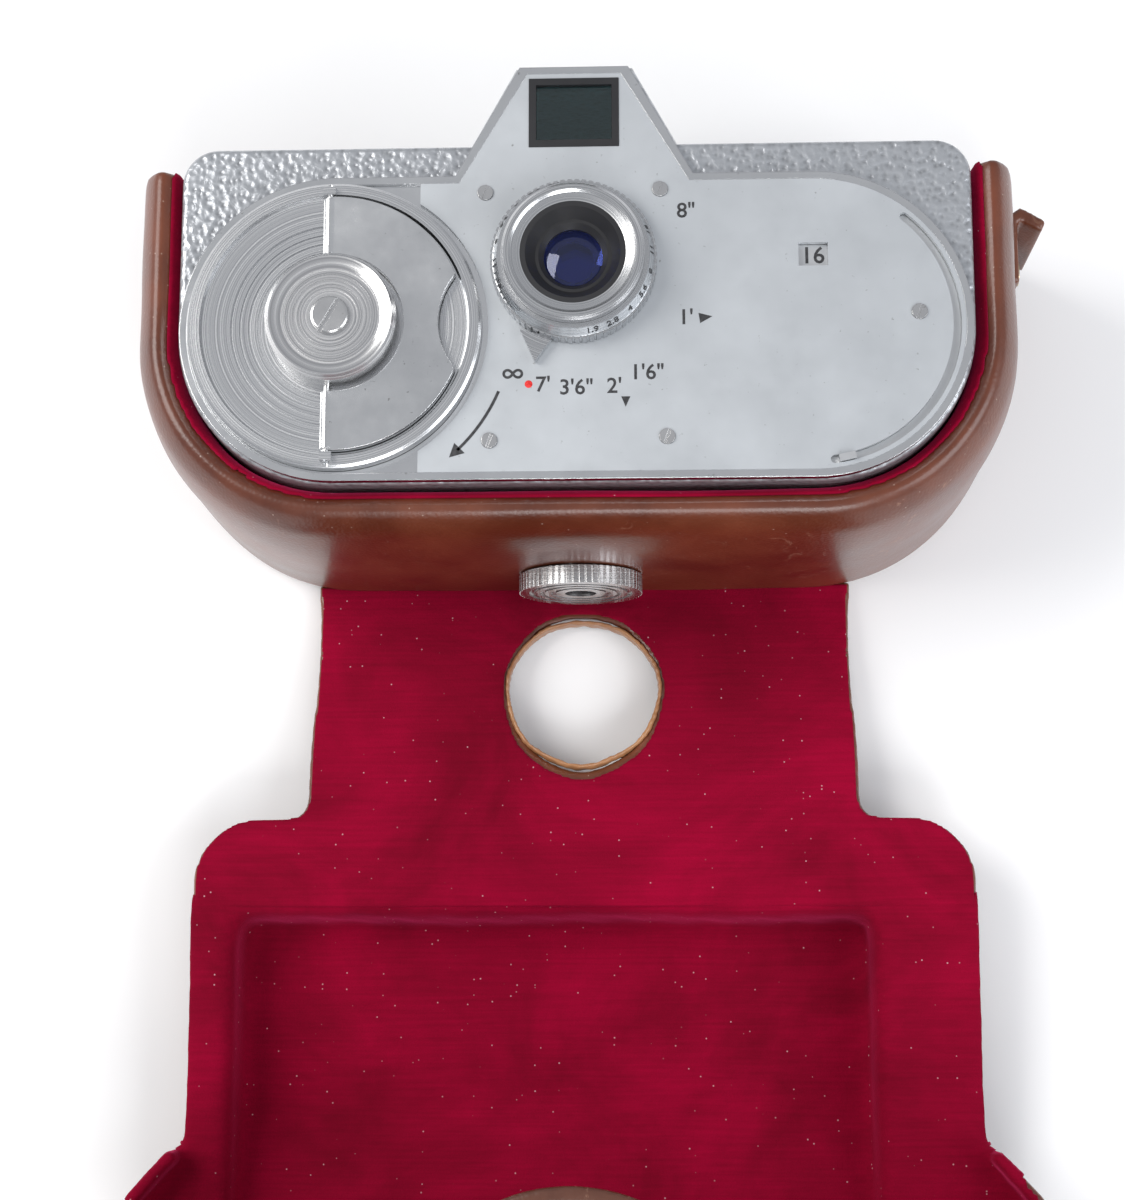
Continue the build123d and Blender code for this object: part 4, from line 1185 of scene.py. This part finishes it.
@dataclass
class FrontCover:
    """The moulded front of the case with its recess, hood and snap tab."""

    voxel: float = 1.0
    rounds: int = 8
    tab_half: float = 27.0
    tab_y: float = -212.343
    tab_z: float = 77.8
    tab_length: float = 43.0
    recess_rounds: int = 45

    def build(self, velvet: bpy.types.Material, hide: bpy.types.Material) -> None:
        """Build the shell, lining and tab.

        Args:
            velvet: Lining material.
            hide: Leather material.
        """
        shell = node_copy("cover_leather", "cover_shell")
        remesh(shell, self.voxel, self.rounds)
        self.soften(shell)
        ripple(shell, 0.3, 52.0, 1.4)
        dress(shell, hide)
        skin = skin_from(shell, "cover_velvet", "cover_lining", 6.0, 1.5)
        ripple(skin, 0.12, 9.0)
        dress(skin, velvet)
        finish_piece(skin, Part.COVER.value, "velvet", "cover_velvet")
        finish_piece(shell, Part.COVER.value, "case_leather", "cover_leather")
        self.tab()

    def soften(self, shell: bpy.types.Object) -> None:
        """Round the moulded recess softly and leave the outline as it is.

        Args:
            shell: The cover's leather.
        """
        group = shell.vertex_groups.new(name="recess")
        for vertex in shell.data.vertices:
            along = (FOLD.y - vertex.co.y) / MM
            side = 77.0 - abs(vertex.co.x) / MM
            share = min(1.0, max(0.0, min(side, along - 3.0, 83.0 - along, 20.0 - vertex.co.z / MM) / 4.0))
            if share > 0:
                group.add([vertex.index], share, "REPLACE")
        apply_modifier(shell, "SMOOTH", factor=0.6, iterations=self.recess_rounds, vertex_group="recess")

    def tab(self) -> None:
        """Build the closing tab and its snap."""
        hide = Leather("tab_leather", base=(0.115, 0.036, 0.018), dark=(0.060, 0.018, 0.010)).make()
        tab = node_copy("snap_tab", "snap_strap")
        remesh(tab, 0.55, 3)
        self.emboss(tab)
        ripple(tab, 0.15, 30.0)
        dress(tab, hide)
        finish_piece(tab, Part.TAB.value, "case_leather", "snap_tab")
        outline = [(0.01, 78.7), (5.5, 79.05), (7.4, 79.2), (8.4, 79.6), (8.5, 80.1), (7.9, 80.6),
                   (6.9, 80.45), (6.2, 80.15), (5.4, 80.3), (3.0, 80.55), (0.01, 80.6)]
        cap = revolve("snap_button", outline, centre_of("snap_cap"), 64)
        smooth(cap, 40)
        dress(cap, Metal("snap_metal", base=(0.05, 0.047, 0.046), low=0.28, high=0.5).make())
        finish_piece(cap, Part.TAB.value, "snap_metal", "snap_cap")

    def emboss(self, tab: bpy.types.Object) -> None:
        """Press a shallow border line into the tab's upper face.

        Args:
            tab: The tab's leather.
        """
        shoulder = self.tab_y + self.tab_length - 14.85
        for vertex in tab.data.vertices:
            x, y, z = vertex.co / MM
            if z < self.tab_z + 0.7:
                continue
            depth = self.tab_half - abs(x)
            if y > shoulder:
                depth = min(depth, (self.tab_y + self.tab_length - y) - 0.0202 * x * x)
            vertex.co.z -= 0.4 * MM * math.exp(-((depth - 3.2) / 0.75) ** 2)
        tab.data.update()


@dataclass
class ShoulderStrap:
    """The stub of the shoulder strap on the side wall, with its rivets."""

    voxel: float = 0.6
    rounds: int = 5
    rivets: Metal = Metal("rivet_metal", base=(0.55, 0.45, 0.28))

    def build(self, hide: bpy.types.Material) -> None:
        """Build the strap's end and dress the rivets.

        Args:
            hide: Leather material.
        """
        strap = node_copy("strap_stub", "strap_end")
        remesh(strap, self.voxel, self.rounds)
        dress(strap, hide)
        finish_piece(strap, Part.CAMERA.value, "strap_leather", "strap_stub")
        dress_node("strap_rivet", self.rivets.make())


# ------------------------------------------------------------------ stage, lights, camera
@dataclass
class Studio:
    """Pale floor, soft lights and the camera of the picture."""

    eye: tuple = (13.577, -140.6, 471.374)
    turn: tuple = (10.400, 2.2027, -0.0195)
    lens: float = 72.147

    def build(self) -> None:
        """Build the floor, the lights, the world and the camera."""
        bpy.ops.mesh.primitive_plane_add(size=6.0, location=(0, -0.1, -0.0006))
        floor = bpy.context.object
        floor.name = "table_top"
        paper = Shader("pale_table")
        paper.set(Base_Color=(0.90, 0.90, 0.905, 1), Roughness=0.7, Specular_IOR_Level=0.2)
        dress(floor, paper.material)
        self.light("key_light", (-0.75, 0.15, 0.75), 0.7, 9.0, (1.0, 0.98, 0.95))
        self.light("fill_light", (0.85, -0.35, 0.70), 0.7, 6.0, (0.95, 0.97, 1.0))
        self.light("front_light", (0.15, -0.95, 0.75), 0.5, 5.0, (1.0, 1.0, 1.0))
        world = bpy.data.worlds.new("studio")
        world.use_nodes = True
        world.node_tree.nodes["Background"].inputs[0].default_value = (0.93, 0.95, 1.0, 1)
        world.node_tree.nodes["Background"].inputs[1].default_value = 0.5
        bpy.context.scene.world = world
        data = bpy.data.cameras.new("picture_camera")
        data.sensor_width = 36.0
        data.sensor_fit = "HORIZONTAL"
        data.lens = self.lens
        data.clip_start = 0.01
        view = bpy.data.objects.new("picture_camera", data)
        bpy.context.scene.collection.objects.link(view)
        view.location = Vector(self.eye) * MM
        view.rotation_euler = [math.radians(angle) for angle in self.turn]
        bpy.context.scene.camera = view
        bpy.context.scene.view_settings.view_transform = "Standard"
        LOG.info("stage ready")

    def light(self, name: str, place: tuple, size: float, power: float, colour: Colour) -> None:
        """Hang a soft square light that faces the object.

        Args:
            name: The light's name.
            place: Where it hangs, in metres.
            size: Its side in metres.
            power: Its power in watts.
            colour: Its colour.
        """
        data = bpy.data.lights.new(name, "AREA")
        data.shape = "SQUARE"
        data.size = size
        data.energy = power
        data.color = colour
        lamp = bpy.data.objects.new(name, data)
        bpy.context.scene.collection.objects.link(lamp)
        lamp.location = place
        aim = Vector((0, -0.08, 0.03)) - Vector(place)
        lamp.rotation_euler = aim.to_track_quat("-Z", "Y").to_euler()


# ------------------------------------------------------------------ marks on the metal
def flat_text(text: str, size: float, place: Vector, turn: float, thick: float = 0.03) -> bpy.types.Object:
    """Make upright text as a thin closed mesh facing +Z.

    Args:
        text: The characters.
        size: Letter size in mm.
        place: Middle of the text in metres, on the surface.
        turn: Rotation round Z in degrees.
        thick: Height over the surface in mm.

    Returns:
        The text mesh, at the origin.
    """
    curve = bpy.data.curves.new("mark", "FONT")
    curve.body = text
    curve.size = size * MM
    curve.align_x = "CENTER"
    curve.align_y = "CENTER"
    curve.extrude = thick * MM
    curve.resolution_u = 3
    curve.offset = 0.012 * size * MM
    piece = bpy.data.objects.new("mark", curve)
    bpy.context.scene.collection.objects.link(piece)
    activate(piece)
    bpy.ops.object.convert(target="MESH")
    piece = bpy.context.object
    piece.data.transform(Matrix.Translation(place) @ Matrix.Rotation(math.radians(turn), 4, "Z"))
    return piece


def flat_shape(corners: list, height: float, thick: float = 0.04) -> bpy.types.Object:
    """Make a thin flat plate.

    Args:
        corners: Pairs (x, y) in mm, in order.
        height: Its underside in mm.
        thick: Its thickness in mm.

    Returns:
        The plate.
    """
    count = len(corners)
    points = [Vector((x, y, height)) * MM for x, y in corners]
    points += [Vector((x, y, height + thick)) * MM for x, y in corners]
    faces = [tuple(range(count - 1, -1, -1)), tuple(range(count, 2 * count))]
    for index in range(count):
        after = (index + 1) % count
        faces.append((index, after, count + after, count + index))
    piece = new_piece("mark", points, faces)
    clean_normals(piece)
    return piece


def arc_line(centre: tuple, radius: float, start: float, end: float, width: float,
             height: float) -> bpy.types.Object:
    """Make a thin curved line on a flat face.

    Args:
        centre: The arc's centre (x, y) in mm.
        radius: The arc's radius in mm.
        start: First angle in degrees.
        end: Last angle in degrees.
        width: The line's width in mm.
        height: The face's height in mm.

    Returns:
        The line.
    """
    steps = max(6, round(abs(end - start) / 3))
    outer, inner = [], []
    for step in range(steps + 1):
        turn = math.radians(start + (end - start) * step / steps)
        outer.append((centre[0] + (radius + width / 2) * math.cos(turn),
                      centre[1] + (radius + width / 2) * math.sin(turn)))
        inner.append((centre[0] + (radius - width / 2) * math.cos(turn),
                      centre[1] + (radius - width / 2) * math.sin(turn)))
    return flat_shape(outer + inner[::-1], height)


@dataclass(frozen=True)
class Mark:
    """A number on the face plate."""

    text: str
    x: float
    y: float
    size: float = 3.3
    turn: float = 0.0


@dataclass
class FaceMarks:
    """Engraved distances, index marks, the winding arrow and dial numbers."""

    distances: tuple = (
        Mark("∞", -11.6, -21.6, 4.6), Mark("7'", -5.9, -23.8, 4.2), Mark("3'6\"", 0.4, -24.4, 4.2),
        Mark("2'", 7.6, -24.2, 4.2), Mark("1'6\"", 13.8, -21.6, 4.2), Mark("1'", 21.2, -10.9, 4.2),
        Mark("8\"", 21.4, 10.3, 4.2),
    )
    stops: tuple = ("1.9", "2.8", "4", "5.6", "8", "11", "16")
    cone_tilt: float = math.radians(67.4)
    cone_radius: float = 14.93
    cone_height: float = 64.9

    def build(self) -> None:
        """Build all marks in their finishes."""
        ink = Ink().make()
        red = Ink("red_ink", (0.45, 0.012, 0.01)).make()
        plate = [flat_text(mark.text, mark.size, Vector((mark.x, mark.y, PLATE_Z)) * MM, mark.turn)
                 for mark in self.distances]
        level = PLATE_Z + 0.005
        plate.append(flat_shape([(23.6, -10.0), (26.2, -10.7), (23.9, -12.0)], level))
        plate.append(flat_shape([(8.9, -26.2), (10.6, -26.2), (9.7, -28.2)], level))
        plate.append(self.arrow(level))
        marks = join("face_marks", plate)
        dress(marks, ink)
        finish_piece(marks, Part.CAMERA.value, "satin_plate")
        dome = [(0.01, PLATE_Z), (0.75, PLATE_Z), (0.62, PLATE_Z + 0.12), (0.01, PLATE_Z + 0.16)]
        spot = revolve("focus_dot", dome, Vector((-8.6, -23.6, 0)) * MM, 24)
        dress(spot, red)
        finish_piece(spot, Part.CAMERA.value, "satin_plate")
        self.aperture_scale(ink)
        self.speed_scale(ink)

    def arrow(self, level: float) -> bpy.types.Object:
        """Build the curved winding arrow beside the disc.

        Args:
            level: Height of the face in mm.

        Returns:
            The arrow.
        """
        centre = (-45.5, -12.0)
        shaft = arc_line(centre, 33.8, -22.5, -46.0, 0.55, level)
        tip = math.radians(-49.5)
        back = math.radians(-45.0)
        head = []
        for radius, turn in ((33.8, tip), (35.2, back), (32.4, back)):
            head.append((centre[0] + radius * math.cos(turn), centre[1] + radius * math.sin(turn)))
        return join("arrow", [shaft, flat_shape(head, level)])

    def aperture_scale(self, ink: bpy.types.Material) -> None:
        """Set the stop numbers on the aperture ring's slanted face, in two sets.

        Args:
            ink: The numbers' material.
        """
        numbers = []
        for start in (-76.0, 104.0):
            for index, text in enumerate(self.stops):
                turn = start + 16.0 * index
                piece = flat_text(text, 2.1, Vector((0, 0, 0)), 0)
                tilt = Matrix.Rotation(self.cone_tilt, 4, "X")
                move = Matrix.Translation(Vector((0, -self.cone_radius, self.cone_height)) * MM)
                spin = Matrix.Rotation(math.radians(turn + 90), 4, "Z")
                piece.data.transform(spin @ move @ tilt)
                numbers.append(piece)
        scale = join("aperture_numbers", numbers)
        dress(scale, ink)
        finish_piece(scale, Part.APERTURE.value, "ring_metal")

    def speed_scale(self, ink: bpy.types.Material) -> None:
        """Set the speed numbers on the disc under the little window.

        Args:
            ink: The numbers' material.
        """
        move = Matrix.Translation((SPEED_CENTRE.x, SPEED_CENTRE.y, self.dial_top()))
        numbers = []
        for index, text in enumerate(("16", "24", "32", "48", "8")):
            turn = 25.0 * (index if index < 4 else -1)
            piece = flat_text(text, 4.6, Vector((0, WINDOW_RADIUS, 0)), 0)
            piece.data.transform(move @ Matrix.Rotation(math.radians(-turn), 4, "Z"))
            numbers.append(piece)
        scale = join("speed_numbers", numbers)
        dress(scale, ink)
        finish_piece(scale, Part.SPEED.value, "speed_dial")

    def dial_top(self) -> float:
        """Measure the speed disc's upper face under the window.

        Returns:
            Its height in metres.
        """
        above = Vector((SPEED_CENTRE.x, SPEED_CENTRE.y + WINDOW_RADIUS, 0.1))
        hit = search_tree("speed_disc").ray_cast(above, Vector((0, 0, -1)))
        return hit[0].z if hit[0] is not None else SPEED_CENTRE.z - 1.1 * MM


@dataclass
class CameraFinishes:
    """Materials for the camera's CAD nodes, kept as they were packed."""

    body: Hammertone = Hammertone()
    satin: Metal = Metal("satin_plate", base=(0.53, 0.555, 0.58), low=0.42, high=0.55, metallic=0.55,
                         bump=0.15)
    bright: Metal = Metal("bright_bezel", base=(0.80, 0.81, 0.82), low=0.10, high=0.22, edge=0.3)

    def build(self) -> None:
        """Dress every visible and hidden node."""
        enamel = self.body.make()
        satin = self.satin.make()
        bright = self.bright.make()
        disc = Turned("turned_disc", DISC).make()
        lens_turned = Turned("ring_metal", Vector((0, 0, 0)), base=(0.68, 0.69, 0.70), rings=4200).make()
        hub = Turned("hub_metal", DISC, base=(0.80, 0.80, 0.80), rings=1500).make()
        key = Metal("key_metal", base=(0.78, 0.79, 0.80), low=0.14, high=0.3, edge=0.25).make()
        screws = Metal("bright_screws", base=(0.72, 0.72, 0.72), low=0.15, high=0.3, edge=0.15).make()
        knob = Turned("knob_metal", Vector((0, 0, 0)), base=(0.7, 0.7, 0.7)).make()
        black = Metal("black_metal", base=(0.018, 0.018, 0.02), low=0.3, high=0.5, metallic=0.0,
                      bump=0.15).make()
        dial = Metal("speed_dial", base=(0.72, 0.73, 0.74), low=0.35, high=0.5).make()
        steel = Metal("inner_steel", base=(0.45, 0.45, 0.46)).make()
        brass = Metal("inner_brass", base=(0.60, 0.43, 0.18)).make()
        spool = Metal("spool_metal", base=(0.30, 0.30, 0.31)).make()
        film = Ink("film", (0.035, 0.025, 0.02)).make()
        glass = CoatedGlass("lens_glass").make()
        pane = CoatedGlass("finder_glass", tint=(0.62, 0.74, 0.76), coating=(0.6, 0.8, 0.8)).make()
        groups = (
            (enamel, "body_casting back_door"), (satin, "front_plate"), (bright, "front_bezel"),
            (disc, "winding_disc"), (hub, "disc_hub"), (key, "winding_key"),
            (screws, "plate_screws hub_screw key_pins release_collar release_button"),
            (lens_turned, "focus_ring aperture_ring front_ring"), (glass, "front_glass rear_glass"),
            (black, "lens_funnel finder_frame lens_barrel iris_blades rear_cell finder_eyepiece"),
            (black, "pressure_plate"),
            (pane, "finder_lens"), (dial, "speed_disc"), (knob, "retaining_knob"), (brass, "middle_wheel"),
            (brass, "spring_drum drum_cover tripod_bush governor shutter_shaft"),
            (steel, "winding_arbor mainspring shutter_disc front_mech_plate rear_mech_plate mech_pillars"),
            (steel, "film_gate film_claw spool_spindle"), (spool, "supply_spool takeup_spool"),
            (film, "supply_film takeup_film"),
        )
        for material, names in groups:
            for node in names.split():
                dress_node(node, material)
        LOG.info("camera nodes dressed")


# ------------------------------------------------------------------ run
def main() -> None:
    """Build every sub-assembly."""
    velvet = Velvet().make()
    cover_hide = Leather("cover_leather").make()
    strip_hide = Leather("strap_leather", base=(0.19, 0.055, 0.022)).make()
    raw_hide = Leather("raw_leather", base=(0.46, 0.23, 0.10), dark=(0.26, 0.11, 0.05),
                       scuff_amount=0.4).make()
    HalfCase().build(velvet)
    FoldingStrip().build(velvet, strip_hide, raw_hide)
    FrontCover().build(velvet, cover_hide)
    ShoulderStrap().build(strip_hide)
    CameraFinishes().build()
    FaceMarks().build()
    Studio().build()


if __name__ == "__main__":
    main()
